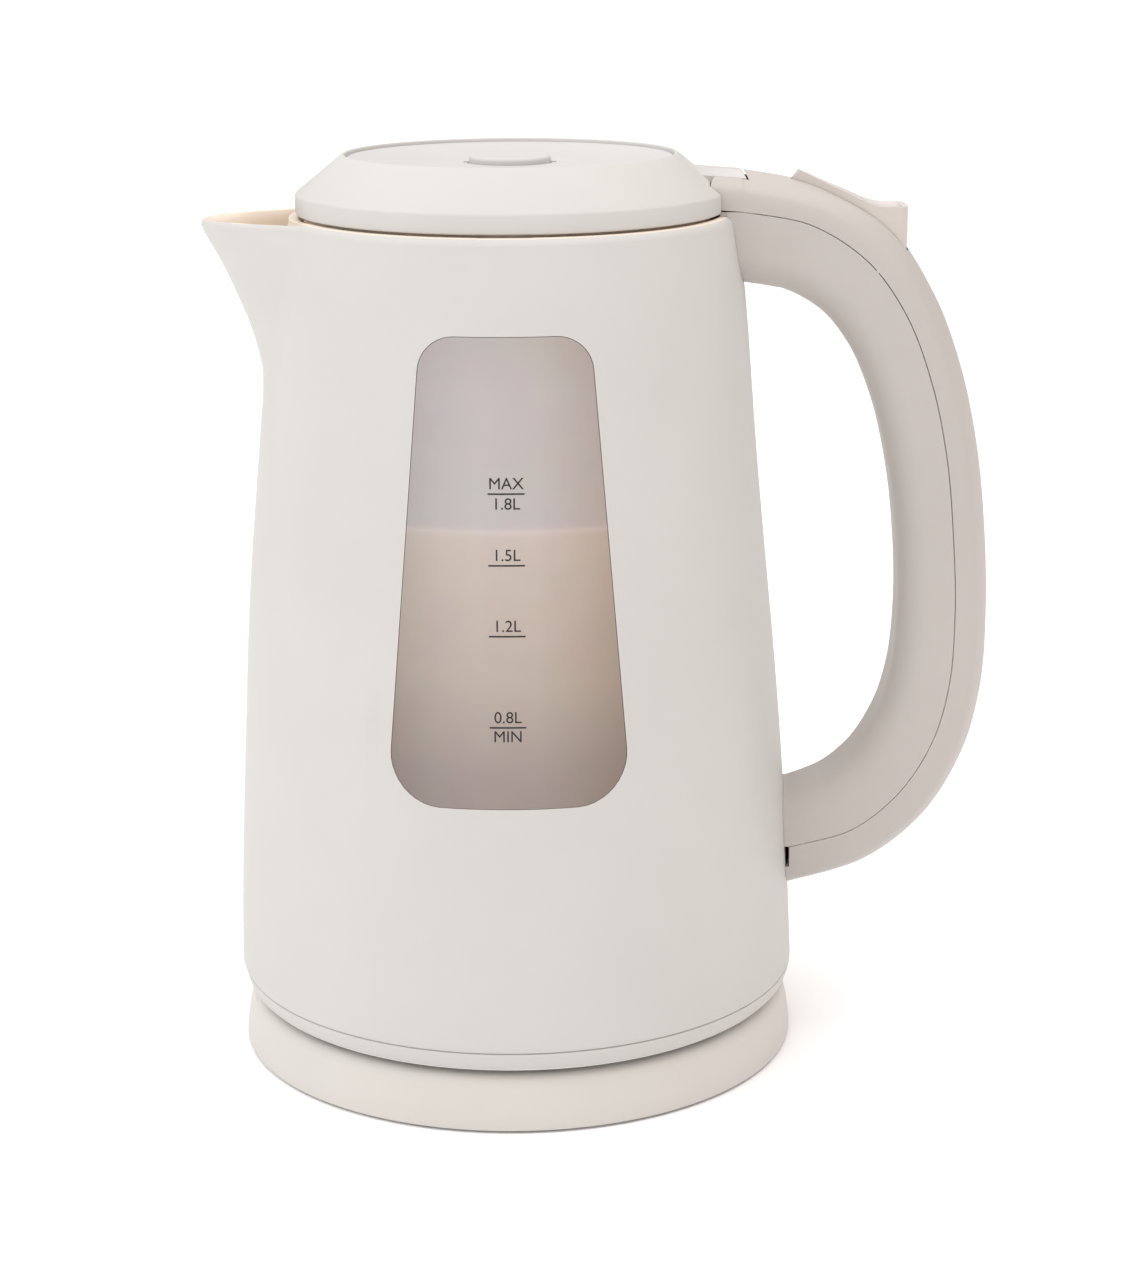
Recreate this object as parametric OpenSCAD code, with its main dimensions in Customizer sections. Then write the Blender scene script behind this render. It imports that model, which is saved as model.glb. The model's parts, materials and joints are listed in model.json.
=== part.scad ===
// Cordless electric kettle, 1.8 litres, on its power base.
// Origin: centre of the base where it meets the table. +Z up, +X towards the handle, -X towards the
// spout, -Y towards the water gauge.

/* [Power base] */
// How far the power base's foot line lies inside the jug's greatest radius
base_inset = 0.2; // [0.1:0.1:3]
// Height of the base's top above the table
base_h = 16; // [15:0.5:18]
// Wall of the base mouldings
base_wall = 2.2; // [1.8:0.1:2.6]
// How far the ring foot stands out below the base
foot_stand = 0.8; // [0.5:0.1:1.2]
// Middle radius of the ring foot
foot_r = 66; // [60:1:70]
// Radius of the bore in the cord gland
cord_bore_r = 3.3; // [2.8:0.1:3.5]
// Length of the cord gland
gland_len = 12; // [9:1:14]

/* [Connector] */
// Radius of the connector's post
post_r = 11; // [10.5:0.25:12]
// Height of the post above the base's top
post_h = 14; // [12:1:16]
// Radial width of the round shutter
shutter_w = 4.2; // [3.5:0.1:5]
// Height of the shutter above the base's top
shutter_stand = 4; // [3:0.5:5]

/* [Jug] */
// Height of the jug from its lower edge to its rim
jug_h = 226.8; // [215:1:240]
// Gap seen between the base's top and the jug's lower edge
jug_gap = 1.7; // [1.4:0.1:2.4]
// Largest radius of the jug
belly_r = 82.2; // [79:1:87]
// Radius where the jug's slope meets its neck
neck_r = 66.7; // [66:0.1:68]
// Outer radius of the rim
rim_r = 63.6; // [63.4:0.1:64.6]
// Wall of the jug
wall = 2.5; // [2.2:0.1:2.8]
// Height of the bottom cover's visible band
cover_band_h = 6.2; // [5.5:0.1:7]
// Height of the heating plate's shoulder above the jug's lower edge
plate_level = 55.5; // [52:0.5:62]

/* [Gauge window] */
// Height of the window
window_h = 126; // [110:1:130]
// Width of the window at its lower edge
window_bottom_w = 65; // [56:1:68]
// Width of the window at its upper edge
window_top_w = 46.5; // [40:0.5:50]
// Distance from the rim down to the window
window_drop = 24.5; // [23:0.5:28]
// Corner radius at the top of the window
window_top_corner = 10; // [7:0.5:12]
// Corner radius at the bottom of the window
window_bottom_corner = 15; // [10:0.5:18]

/* [Spout] */
// How far the spout's lip reaches out past the neck
spout_reach = 24.4; // [20:0.2:28]
// Height of the spout
spout_h = 54; // [46:1:60]
// Nose radius of the spout, seen from above
spout_nose_r = 11; // [9:0.5:13]
// Wall of the spout
spout_wall = 2.2; // [1.8:0.1:2.6]

/* [Lid] */
// Radius of the lid's upright band
lid_r = 60.6; // [59.6:0.1:60.8]
// Height of the lid from its band to its top
lid_h = 16.2; // [15:0.2:18]
// Height of the upright band
lid_band_h = 5.7; // [5:0.1:6.5]
// Radius of the dish in the lid's top
dish_r = 46; // [42:0.5:48]
// Gap between the rim and the lid's band
lid_gap = 1.3; // [1.1:0.1:1.8]
// Wall of the lid
lid_wall = 2.2; // [1.8:0.1:2.6]
// Radius of the round button
button_r = 11.6; // [10.6:0.2:12.6]
// Travel of the button, and of the two latch bolts
button_travel = 2.5; // [2:0.1:2.7]

/* [Handle] */
// How far the handle stands out beyond the line between its two ends
handle_bulge = 64.8; // [60:0.4:70]
// Height of the handle's lower end above the jug's lower edge
handle_foot_up = 26.8; // [25:0.2:30]
// Width of the handle
handle_w = 28; // [27:0.5:30]
// Thickness of the handle at its root
handle_depth = 31; // [30:0.5:32]
// Wall of the handle mouldings
handle_wall = 2.5; // [2.2:0.1:2.8]
// Height of the lid's hinge axis above the rim
hinge_up = 7.9; // [7.7:0.1:8.3]
// Radius of the hinge pin
hinge_pin_r = 1.6; // [1.4:0.1:1.8]

/* [Switch] */
// Width of the thumb paddle
paddle_w = 17.2; // [15:0.2:17.6]
// Length of the thumb paddle
paddle_len = 32.5; // [30:0.5:34]
// Swing of the thumb paddle between off and on, in degrees
paddle_swing = 10; // [6:1:11]

/* [Heater] */
// How far the heating plate's edge lies inside the jug's greatest radius
plate_inset = 14.7; // [13.5:0.1:16]
// Radius of the heater tube's ring
heater_ring_r = 38; // [37:0.5:42]
// Radius of the sheathed heater tube
heater_tube_r = 3.6; // [3:0.1:4]
// Radius of the heat diffuser
diffuser_r = 47; // [46:0.5:52]

/* [Fits] */
// Gap round a part that moves
move_gap = 0.35; // [0.3:0.05:0.4]
// Gap round a part that is fixed
seat_gap = 0.1; // [0.05:0.05:0.15]
// Radial clearance of a pin that turns in its bore
pin_gap = 0.05; // [0.03:0.01:0.08]
// Radius of the screws
screw_r = 1.45; // [1.25:0.05:1.6]

/* [Hidden] */
$fn = 96;

// Heights, all above the table
foot_depth = 1.4;
base_floor_z = foot_stand + base_wall;
base_r = belly_r - base_inset;
plate_r = belly_r - plate_inset;
base_ceiling_z = base_h - base_wall;
jug_z = base_h + jug_gap;
seam_z = jug_z + cover_band_h;
belly_z = seam_z + 4;
rim_z = jug_z + jug_h;
neck_z = rim_z - 21.5;
shoulder_z = jug_z + plate_level;
lid_z = rim_z + lid_gap;
lid_top_z = lid_z + lid_h;
window_z = rim_z - window_drop - window_h;
hinge_z = rim_z + hinge_up;
hinge_x = lid_r;

// Jug mouth, from the lid's band inwards
mouth_r = lid_r - 1.6;
plug_r = mouth_r - 2 * move_gap;
ledge_r = plug_r - 2.8;
cup_r = ledge_r - 1;
ledge_z = rim_z - 8;
ledge_h = 3;

// Handle and its ears
ear_r = 4.6;
ear_y = 8.2;
ear_w = 5.5;
ear_end = ear_y + ear_w;
cover_front = hinge_x + 4.2;
handle_top_z = hinge_z + ear_r + 0.2;
handle_x = hinge_x + 3.4;

// Connector, from the centre outwards
slot_w = 1.9;
slot_radii = [4.2, 7.4];
contact_t = 0.5;
pin_bore_r = 2.6;
pin_r = 1.7;
shutter_r = post_r + move_gap;
shutter_end = shutter_r + shutter_w;
hub_hole_r = shutter_end + move_gap;
socket_r = shutter_end + 4;
socket_z = base_h + shutter_stand + move_gap;
post_z = base_h + post_h;

// Screws
boss_r = screw_r + 2.3;
head_r = 2 * screw_r;
head_h = 1.2;
screw_hole_r = screw_r + pin_gap;
base_screw_r = base_r * 0.58;
cover_screw_r = belly_r - 9;
clamp_screw_r = plate_r + 5;
lid_screw_r = dish_r + 1.5;

// Parts of the lid
skirt_z = rim_z - 3.5;
skirt_t = 2.1;
disc_t = 1.8;
disc_z = lid_top_z - 4.4;
seat_t = 2;
seat_w = 3;
plate_in_z = ledge_z - 3;
bolt_z = skirt_z + move_gap;
bolt_t = 3;
bolt_w = 12;
nose_y = mouth_r + 1.3;

// Switch, on the line of the paddle's pivot
pivot_x = handle_x + 24;
pivot_z = handle_top_z - 12.6;
pivot_r = 1.5;
mesh_arm = 5.5;
lever_z = pivot_z - 2 * mesh_arm;

function arc(cx, cz, r, a0, a1, n) =
    [for (i = [0 : n]) [cx + r * cos(a0 + (a1 - a0) * i / n), cz + r * sin(a0 + (a1 - a0) * i / n)]];

function mix(a, b, t) = a + (b - a) * t;

// Outer radius of the jug at a height on its slope
function jug_r(z) =
    z < belly_z ? belly_r : z < neck_z ? belly_r - (belly_r - neck_r) * pow((z - belly_z) / (neck_z - belly_z), 1.15)
    : mix(neck_r, rim_r, min(1, (z - neck_z) / (rim_z - 1.5 - neck_z)));

slope_steps = 12;
function slope(z0, z1, inset) = [for (i = [0 : slope_steps])
    let (z = mix(z0, z1, i / slope_steps)) [jug_r(z) - inset, z]];

function flip(points) = [for (i = [len(points) - 1 : -1 : 0]) points[i]];

module ring(r_in, r_out, z0, z1) {
    translate([0, 0, z0])
        difference() {
            cylinder(r = r_out, h = z1 - z0);
            translate([0, 0, -1]) cylinder(r = r_in, h = z1 - z0 + 2);
        }
}

module rod(r, x, y, z0, z1) {
    translate([x, y, z0]) cylinder(r = r, h = z1 - z0, $fn = 32);
}

// A bar along Y, centred on the part's middle plane
module rod_y(r, x, z, half, fn = 40) {
    translate([x, half, z]) rotate([90, 0, 0]) cylinder(r = r, h = 2 * half, $fn = fn);
}

// A box given by its lowest and highest corners
module block(low, high) {
    translate(low) cube(high - low);
}

module both_sides() {
    children();
    mirror([0, 1, 0]) children();
}

module around(n, r, start = 0) {
    for (i = [0 : n - 1]) rotate(start + i * 360 / n) translate([r, 0, 0]) children();
}

// A screw with its head's underside at z = 0 and its shank upwards
module screw(length) {
    difference() {
        union() {
            cylinder(r = screw_r, h = length, $fn = 24);
            translate([0, 0, -head_h]) cylinder(r = head_r, h = head_h, $fn = 32);
        }
        for (a = [0, 90]) rotate(a) translate([-head_r * 0.6, -0.3, -head_h - 1]) cube([head_r * 1.2, 0.6, 1.6]);
    }
}

// A closed solid through rings of points, all with the same number of points
module loft(rings) {
    n = len(rings[0]);
    m = len(rings);
    polyhedron(
        points = [for (ring = rings) each ring],
        faces = concat(
            [[for (i = [0 : n - 1]) i]],
            [for (k = [0 : m - 2]) for (i = [0 : n - 1])
                each [[k * n + i, (k + 1) * n + i, k * n + (i + 1) % n],
                      [k * n + (i + 1) % n, (k + 1) * n + i, (k + 1) * n + (i + 1) % n]]],
            [[for (i = [n - 1 : -1 : 0]) (m - 1) * n + i]]
        ), convexity = 8);
}

// A wire wound as a coil up +Z, with its ends square
module coil(r, wire, turns, height, sides = 6, steps = 12) {
    count = round(turns * steps);
    loft([for (k = [0 : count])
        let (a = 360 * k / steps, z = mix(wire, height - wire, k / count))
        [for (j = [0 : sides - 1])
            let (b = -360 * j / sides, d = r + wire * cos(b))
            [d * cos(a), d * sin(a), z + wire * sin(b)]]]);
}

// ---- Power base ----

module base_top() {
    color("ivory")
    difference() {
        rotate_extrude()
            polygon(concat(
                [[hub_hole_r, base_h], [hub_hole_r, base_ceiling_z], [base_r - base_wall - 2, base_ceiling_z],
                 [base_r - base_wall, base_ceiling_z - 2], [base_r - base_wall, foot_stand]],
                [[base_r, foot_stand], [base_r, 5], [base_r - 0.6, base_h - 8]],
                arc(base_r - 5, base_h - 3.4, 3.4, 12, 90, 5)));
        base_gland_hole(gland_r + seat_gap);
    }
    color("ivory")
    around(4, base_screw_r, 45)
        difference() {
            translate([0, 0, base_floor_z]) cylinder(r = boss_r, h = base_ceiling_z - base_floor_z, $fn = 32);
            translate([0, 0, base_floor_z - 1]) cylinder(r = screw_hole_r, h = 9, $fn = 24);
        }
}

gland_r = cord_bore_r + 1.2;
gland_z = (base_floor_z + base_ceiling_z) / 2;

module base_gland_hole(r) {
    translate([0, base_r - base_wall - gland_len, gland_z]) rotate([-90, 0, 0]) cylinder(r = r, h = gland_len + 10, $fn = 48);
}

module base_bottom() {
    color("ivory")
    difference() {
        union() {
            translate([0, 0, foot_stand]) cylinder(r = base_r - base_wall - seat_gap, h = base_wall);
            ring(socket_r, socket_r + 3, foot_stand, base_ceiling_z - 2.5);
        }
        translate([0, 0, -1]) ring(foot_r - 3, foot_r + 3, 0, foot_stand + foot_depth + 1);
        around(4, base_screw_r, 45) {
            cylinder(r = screw_r + 0.3, h = 20, $fn = 24);
            cylinder(r = head_r + 0.3, h = foot_stand + head_h + 0.2, $fn = 32);
        }
    }
}

module base_foot() {
    color("dimgray")
    ring(foot_r - 3 + seat_gap, foot_r + 3 - seat_gap, 0, foot_stand + foot_depth);
}

module base_screws() {
    color("silver")
    around(4, base_screw_r, 45) translate([0, 0, foot_stand + head_h + 0.2]) screw(7);
}

module base_connector() {
    color("dimgray")
    difference() {
        union() {
            translate([0, 0, base_ceiling_z - 2.5]) cylinder(r = socket_r + 3, h = 2.5);
            translate([0, 0, base_ceiling_z - 2.5]) cylinder(r = post_r, h = post_z - base_ceiling_z + 2.5);
        }
        translate([0, 0, base_ceiling_z]) cylinder(r = pin_bore_r, h = post_h + 10);
        for (r = slot_radii) ring(r, r + slot_w, base_ceiling_z + 3, post_z + 1);
    }
}

module base_contacts() {
    color("goldenrod") {
        ring(pin_bore_r - contact_t, pin_bore_r - 0.02, base_ceiling_z, post_z - 2);
        for (r = slot_radii) ring(r + 0.02, r + contact_t, base_ceiling_z + 3, post_z - 2);
    }
}

module cord_gland() {
    color("dimgray")
    translate([0, base_r - base_wall - gland_len + 3, gland_z])
        rotate([-90, 0, 0])
            difference() {
                union() {
                    cylinder(r = gland_r, h = gland_len - seat_gap, $fn = 48);
                    translate([0, 0, gland_len - 7.4]) cylinder(r = gland_r + 0.6, h = 2.2, $fn = 48);
                }
                translate([0, 0, -1]) cylinder(r = cord_bore_r, h = gland_len + 2, $fn = 48);
            }
}

// ---- Shutter, turned by the jug ----

module shutter_ring() {
    color("gray")
    difference() {
        ring(shutter_r, shutter_end, base_ceiling_z + move_gap, base_h + shutter_stand);
        ring(shutter_r + 1.3, shutter_end - 1.3, base_h + shutter_stand - 0.8, base_h + shutter_stand + 1);
    }
}

// ---- Jug ----

module jug_outside(extra = 0) {
    rotate_extrude()
        polygon(concat([[0, seam_z], [belly_r - 0.1 + extra, seam_z]], slope(belly_z, neck_z, -extra),
            [[rim_r + extra, rim_z - 1.5], [rim_r - 0.5 + extra, rim_z - 0.4], [rim_r - 1.3 + extra, rim_z], [0, rim_z]]));
}

// Solid of the space behind the jug's outer skin, between two depths
module jug_layer(outer, inner, z0, z1) {
    rotate_extrude()
        polygon(concat(slope(z0, z1, outer), flip(slope(z0, z1, inner))));
}

module jug_inside() {
    rotate_extrude()
        polygon(concat([[0, seam_z - 1], [belly_r - wall, seam_z - 1]], slope(belly_z, shoulder_z, wall),
            [[plate_r - 3, shoulder_z], [plate_r - 3, shoulder_z + 3], [jug_r(shoulder_z + 5) - wall, shoulder_z + 5]],
            slope(shoulder_z + 6, ledge_z - 8.5, wall),
            [[ledge_r, ledge_z - ledge_h], [ledge_r, ledge_z], [mouth_r, ledge_z],
             [mouth_r, rim_z - 0.8], [mouth_r + 0.8, rim_z + 1], [0, rim_z + 1]]));
}

spout_foot_z = rim_z - 0.6 - spout_h;
// Reach of the spout's keel past the jug's skin, w from 0 at its foot to 1 at its lip
function keel(w) = spout_reach * pow(max(w, 0), 1.55) - 0.6 * (1 - w);

// One level of the spout: a rounded nose, closed by an arc inside the jug's wall
function spout_level(w, z, inset, back) =
    let (r = jug_r(z), nose = r + keel(w) - inset, bend = spout_nose_r - inset, rb = r - back,
         dx = nose - bend - sqrt(max(0, bend * bend - 2 * bend * nose + rb * rb)),
         yj = sqrt(2 * bend * max(dx, 0.05)), aj = asin(min(1, yj / rb)), n = 12, m = 4)
    concat([for (i = [0 : n]) let (y = yj * sin(90 * (1 - 2 * i / n))) [-nose + y * y / (2 * bend), y, z]],
        [for (i = [1 : m - 1]) let (a = aj * (1 - 2 * i / m)) [-rb * cos(a), -rb * sin(a), z]]);

module spout_solid(inset, back, w0, w1) {
    steps = 9;
    loft([for (k = [0 : steps])
        let (w = mix(w0, w1, k / steps)) spout_level(w, spout_foot_z + spout_h * w, inset, back)]);
}

// Window outline at its corner radii, widened by a margin
function turn_corner(a, b, c, r, n) =
    let (u = (a - b) / norm(a - b), v = (c - b) / norm(c - b), half = acos(u * v) / 2,
         mid = b + (u + v) / norm(u + v) * r / sin(half), p = b + u * r / tan(half), q = b + v * r / tan(half),
         a0 = atan2(p[1] - mid[1], p[0] - mid[0]), turn = atan2(q[1] - mid[1], q[0] - mid[0]) - a0,
         sweep = turn > 180 ? turn - 360 : turn < -180 ? turn + 360 : turn)
    [for (i = [0 : n]) mid + r * [cos(a0 + sweep * i / n), sin(a0 + sweep * i / n)]];

module window_prism(margin, y_far) {
    b = window_bottom_w / 2 + margin;
    t = window_top_w / 2 + margin;
    p = [[-b, window_z - margin], [b, window_z - margin], [t, window_z + window_h + margin],
         [-t, window_z + window_h + margin]];
    outline = concat(turn_corner(p[3], p[0], p[1], window_bottom_corner + margin, 6),
        turn_corner(p[0], p[1], p[2], window_bottom_corner + margin, 6),
        turn_corner(p[1], p[2], p[3], window_top_corner + margin, 5),
        turn_corner(p[2], p[3], p[0], window_top_corner + margin, 5));
    translate([0, -y_far, 0]) rotate([90, 0, 0]) linear_extrude(height = belly_r + 10 - y_far) polygon(outline);
}

bolt_slot_w = bolt_w / 2 + 1.2;
steam_z = rim_z - 12.5;
wire_z = jug_z + 36;
handle_low_z = jug_z + handle_foot_up;
handle_h = handle_top_z - handle_low_z;
lower_screw_z = handle_low_z + 18.8;
upper_screw_z = rim_z - 4.8;
upper_screw_y = 7;

module body_shell() {
    color("ivory")
    difference() {
        union() {
            difference() {
                union() {
                    jug_outside();
                    spout_solid(0, 1.2, 0, 1);
                }
                jug_inside();
            }
            around(4, cover_screw_r, 45)
                difference() {
                    union() {
                        translate([0, 0, seam_z]) cylinder(r = boss_r, h = 20, $fn = 32);
                        translate([0, -1.2, seam_z + 4]) cube([belly_r - cover_screw_r - 1, 2.4, 16]);
                    }
                    translate([0, 0, seam_z - 1]) cylinder(r = screw_hole_r, h = 12, $fn = 24);
                }
        }
        spout_solid(spout_wall, 0.9, 0.25, 1.03);
        spout_solid(spout_wall + 1.6, wall + 2, 0.33, 0.68);
        window_prism(0, 0);
        // Pockets for the latch bolts, open upwards
        both_sides() block([-bolt_slot_w, mouth_r - 1, bolt_z - 0.5], [bolt_slot_w, nose_y + move_gap, rim_z + 1]);
        // Recess for the lid's hinge
        block([mouth_r - 5, -ear_end - 0.4, rim_z - 1.6], [rim_r + 5, ear_end + 0.4, rim_z + 1]);
        // Steam port, wire hole and the handle's screw holes
        translate([ledge_r - 10, 0, steam_z]) rotate([0, 90, 0]) cylinder(r = 3, h = 30, $fn = 32);
        both_sides() translate([belly_r - 10, wire_y, wire_z]) rotate([0, 90, 0]) cylinder(r = wire_r + 0.4, h = 12, $fn = 32);
        translate([belly_r - 12, 0, lower_screw_z]) rotate([0, 90, 0]) cylinder(r = screw_r + 0.2, h = 14, $fn = 24);
        both_sides() translate([mouth_r + 1, upper_screw_y, upper_screw_z]) rotate([0, 90, 0])
            cylinder(r = screw_hole_r, h = 10, $fn = 24);
        // Bores for the clamp ring's screws, up into the shoulder
        around(6, clamp_screw_r, 0) translate([0, 0, shoulder_z - 1]) cylinder(r = screw_hole_r, h = 3.4, $fn = 24);
    }
}

module gauge_window() {
    color("silver", 0.7) {
        intersection() {
            jug_layer(0, wall, window_z - 12, rim_z - 10);
            window_prism(-seat_gap, 0);
        }
        intersection() {
            jug_layer(wall + seat_gap, wall + 1.3, window_z - 12, rim_z - 10);
            window_prism(3, 0);
        }
        intersection() {
            jug_layer(wall - 0.5, wall + 0.5, window_z - 12, rim_z - 10);
            window_prism(-1, 0);
        }
    }
}

cover_floor_z = jug_z + 0.4;
cover_top_z = cover_floor_z + base_wall;

module bottom_cover() {
    color("ivory")
    difference() {
        union() {
            rotate_extrude()
                polygon([[socket_r + seat_gap, cover_floor_z], [belly_r - 5.2, cover_floor_z],
                    [belly_r - 3.9, jug_z], [belly_r - 1.9, jug_z + 0.3], [belly_r - 0.8, jug_z + 2.2],
                    [belly_r - 0.3, jug_z + 4.2], [belly_r - 0.1, seam_z], [belly_r - wall - 0.4, seam_z],
                    [belly_r - wall - 0.4, seam_z + 3], [belly_r - wall - 2, seam_z + 3],
                    [belly_r - wall - 2, cover_top_z + 1], [belly_r - wall - 3, cover_top_z], [socket_r + seat_gap, cover_top_z]]);
            // Ring that stands on the base
            ring(foot_r - 4, foot_r - 1, base_h + 0.2, cover_floor_z + 0.5);
            around(4, cover_screw_r, 45) translate([0, 0, cover_floor_z]) cylinder(r = boss_r, h = seam_z - cover_floor_z, $fn = 32);
        }
        around(4, cover_screw_r, 45) {
            translate([0, 0, jug_z - 1]) cylinder(r = screw_r + 0.3, h = 12, $fn = 24);
            translate([0, 0, jug_z - 1]) cylinder(r = head_r + 0.3, h = 1 + 0.6 + head_h, $fn = 32);
        }
        // Vents round the connector
        around(12, (socket_r + foot_r) / 2, 15) translate([-5, -1, jug_z - 1]) cube([10, 2, 6]);
    }
}

module bottom_screws() {
    color("silver")
    around(4, cover_screw_r, 45) translate([0, 0, jug_z + 0.6 + head_h]) screw(8);
}

socket_top_z = post_z + 7;

module jug_socket() {
    color("dimgray")
    difference() {
        union() {
            translate([0, 0, socket_z]) cylinder(r = socket_r, h = socket_top_z - socket_z);
            translate([0, 0, cover_top_z + seat_gap]) cylinder(r = socket_r + 4, h = 2.4);
        }
        translate([0, 0, socket_z - 1]) cylinder(r = post_r + 0.5, h = post_z + 1.5 - socket_z);
        translate([0, 0, socket_z - 1]) cylinder(r = pin_r + 0.02, h = 40, $fn = 48);
        for (r = slot_radii) ring(r + slot_w - 0.35 - 0.62, r + slot_w - 0.33, socket_z, socket_top_z - 1.5);
    }
}

module socket_contacts() {
    color("goldenrod") {
        translate([0, 0, socket_z + 2.5]) cylinder(r = pin_r, h = socket_top_z + 1 - socket_z - 2.5, $fn = 48);
        for (r = slot_radii) ring(r + slot_w - 0.35 - 0.6, r + slot_w - 0.35, socket_z + 2.5, socket_top_z - 1.5);
    }
}

// Levels under the heating plate, from the plate down
seal_t = 3;
plate_z = shoulder_z - 2;
plate_t = 0.8;
diffuser_t = 3;
diffuser_z = plate_z - diffuser_t;
tube_z = diffuser_z - heater_tube_r - 0.1;
clamp_t = 2.8;
clamp_z = shoulder_z - seal_t - clamp_t;
control_r = heater_ring_r - heater_tube_r - 7;
control_z = socket_top_z + 1;
control_top_z = diffuser_z - 8;
control_screw_r = control_r + 3;
disc_x = 13;
snap_r = 7;
snap_t = 0.5;

module control_unit() {
    color("dimgray")
    difference() {
        union() {
            translate([0, 0, control_z]) cylinder(r = control_r - 2, h = control_top_z - control_z);
            translate([0, 0, control_top_z - 2.5]) cylinder(r = control_r, h = 2.5);
            around(3, control_screw_r, 30) translate([0, 0, control_top_z - 3]) cylinder(r = boss_r, h = 3, $fn = 32);
            around(3, control_screw_r - 3, 30) translate([-3, -boss_r + 0.7, control_top_z - 2.8]) cube([5, 2 * boss_r - 1.4, 2.6]);
            for (s = [-1, 1]) translate([s * disc_x, 0, control_top_z - 1]) cylinder(r = snap_r + 1.6, h = 8.4, $fn = 48);
        }
        for (s = [-1, 1]) translate([s * disc_x, 0, control_top_z + 5.4]) cylinder(r = snap_r + 0.3, h = 4, $fn = 48);
        around(3, control_screw_r, 30) translate([0, 0, control_top_z - 4]) cylinder(r = screw_r + 0.2, h = 6, $fn = 24);
        // Terminals on the rim of the connector
        translate([0, 0, control_z - 1]) cylinder(r = pin_r + 0.5, h = 2, $fn = 32);
    }
}

module dry_boil_discs() {
    color("silver")
    for (s = [-1, 1]) translate([s * disc_x, 0, control_top_z + 5.4]) cylinder(r = snap_r, h = snap_t, $fn = 48);
    color("silver")
    for (s = [-1, 1]) translate([s * disc_x, 0, control_top_z + 5.4 + snap_t]) cylinder(r1 = snap_r - 0.5, r2 = 2, h = 1.7, $fn = 48);
}

module control_screws() {
    color("silver")
    around(3, control_screw_r, 30) translate([0, 0, control_top_z - 3]) screw(9);
}

module heating_plate() {
    color("silver")
    translate([0, 0, plate_z]) cylinder(r = plate_r, h = plate_t);
}

module plate_seal() {
    color("gray")
    difference() {
        ring(plate_r - 3.5, plate_r + 1.6, shoulder_z - seal_t, shoulder_z);
        translate([0, 0, plate_z]) cylinder(r = plate_r, h = plate_t);
    }
}

module heat_diffuser() {
    color("silver")
    difference() {
        union() {
            translate([0, 0, diffuser_z]) cylinder(r = diffuser_r, h = diffuser_t);
            around(3, control_screw_r, 30) translate([0, 0, control_top_z]) cylinder(r = boss_r, h = diffuser_z - control_top_z + 1, $fn = 32);
        }
        around(3, control_screw_r, 30) translate([0, 0, control_top_z - 1]) cylinder(r = screw_hole_r, h = 8, $fn = 24);
    }
}

// The tube runs most of the way round and turns down into two cold ends
tube_gap_angle = 40;

module heater_tube() {
    color("silver") {
        rotate(tube_gap_angle / 2)
            rotate_extrude(angle = 360 - tube_gap_angle)
                translate([heater_ring_r, tube_z]) circle(r = heater_tube_r, $fn = 40);
        for (s = [-1, 1]) rotate(s * tube_gap_angle / 2) translate([heater_ring_r, 0, tube_z]) {
            sphere(r = heater_tube_r, $fn = 40);
            translate([0, 0, -10]) cylinder(r = heater_tube_r, h = 10, $fn = 40);
            translate([0, 0, -15]) cylinder(r = 1.1, h = 6, $fn = 24);
        }
    }
}

module heater_leads() {
    color("firebrick")
    for (s = [-1, 1]) rotate(s * tube_gap_angle / 2) {
        translate([control_r - 2 + 0.1, 0, tube_z - 13.4]) rotate([0, 90, 0])
            cylinder(r = 1.2, h = heater_ring_r - control_r - 0.6, $fn = 24);
    }
}

module clamp_ring() {
    color("silver")
    difference() {
        ring(plate_r - 4.5, clamp_screw_r + 3.6, clamp_z, shoulder_z - seal_t);
        around(6, clamp_screw_r, 0) translate([0, 0, clamp_z - 1]) cylinder(r = screw_r + 0.3, h = clamp_t + 2, $fn = 24);
    }
    color("silver")
    around(6, clamp_screw_r, 0)
        difference() {
            translate([0, 0, shoulder_z - seal_t]) cylinder(r = boss_r - 0.8, h = seal_t, $fn = 32);
            translate([0, 0, clamp_z - 1]) cylinder(r = screw_r + 0.3, h = clamp_t + seal_t + 2, $fn = 24);
        }
}

module clamp_screws() {
    color("silver")
    around(6, clamp_screw_r, 0) translate([0, 0, clamp_z]) screw(clamp_t + seal_t + 2.2);
}

// Curved grille clipped inside the jug behind the spout
filter_low_z = spout_foot_z + spout_h * 0.25;
filter_top_z = ledge_z - 9;
filter_t = 1.4;

module spout_filter() {
    color("tan")
    difference() {
        intersection() {
            jug_layer(wall + 2 * seat_gap, wall + 2 * seat_gap + filter_t, filter_low_z, filter_top_z);
            block([-belly_r, -17, filter_low_z - 1], [0, 17, filter_top_z + 1]);
        }
        for (i = [-3 : 3]) for (k = [0 : 3])
            if (abs(i) * 3.2 + 1.6 < 4 + k * 3.2)
                translate([-belly_r, i * 3.2 - 1, filter_low_z + 5 + k * (filter_top_z - filter_low_z - 8) / 4])
                    cube([belly_r - 30, 2, (filter_top_z - filter_low_z - 8) / 4 - 1.6]);
    }
}

// ---- Handle ----

// Stations along the handle's outer line from the hinge end to the lower end: its reach and height,
// and its thickness and seam depth, each as a share of the handle's own sizes
stations = [
    [0.000, 1.000, 1.000, 0.345], [0.350, 0.977, 0.970, 0.325], [0.637, 0.920, 0.940, 0.325],
    [0.821, 0.837, 0.905, 0.325], [0.928, 0.736, 0.870, 0.325], [0.984, 0.628, 0.855, 0.330],
    [1.000, 0.517, 0.848, 0.340], [0.991, 0.407, 0.858, 0.342], [0.950, 0.296, 0.897, 0.355],
    [0.846, 0.193, 0.942, 0.380], [0.651, 0.101, 0.974, 0.420], [0.364, 0.034, 0.984, 0.460],
    [0.000, 0.000, 0.994, 0.500]];
per_station = 2;

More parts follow.
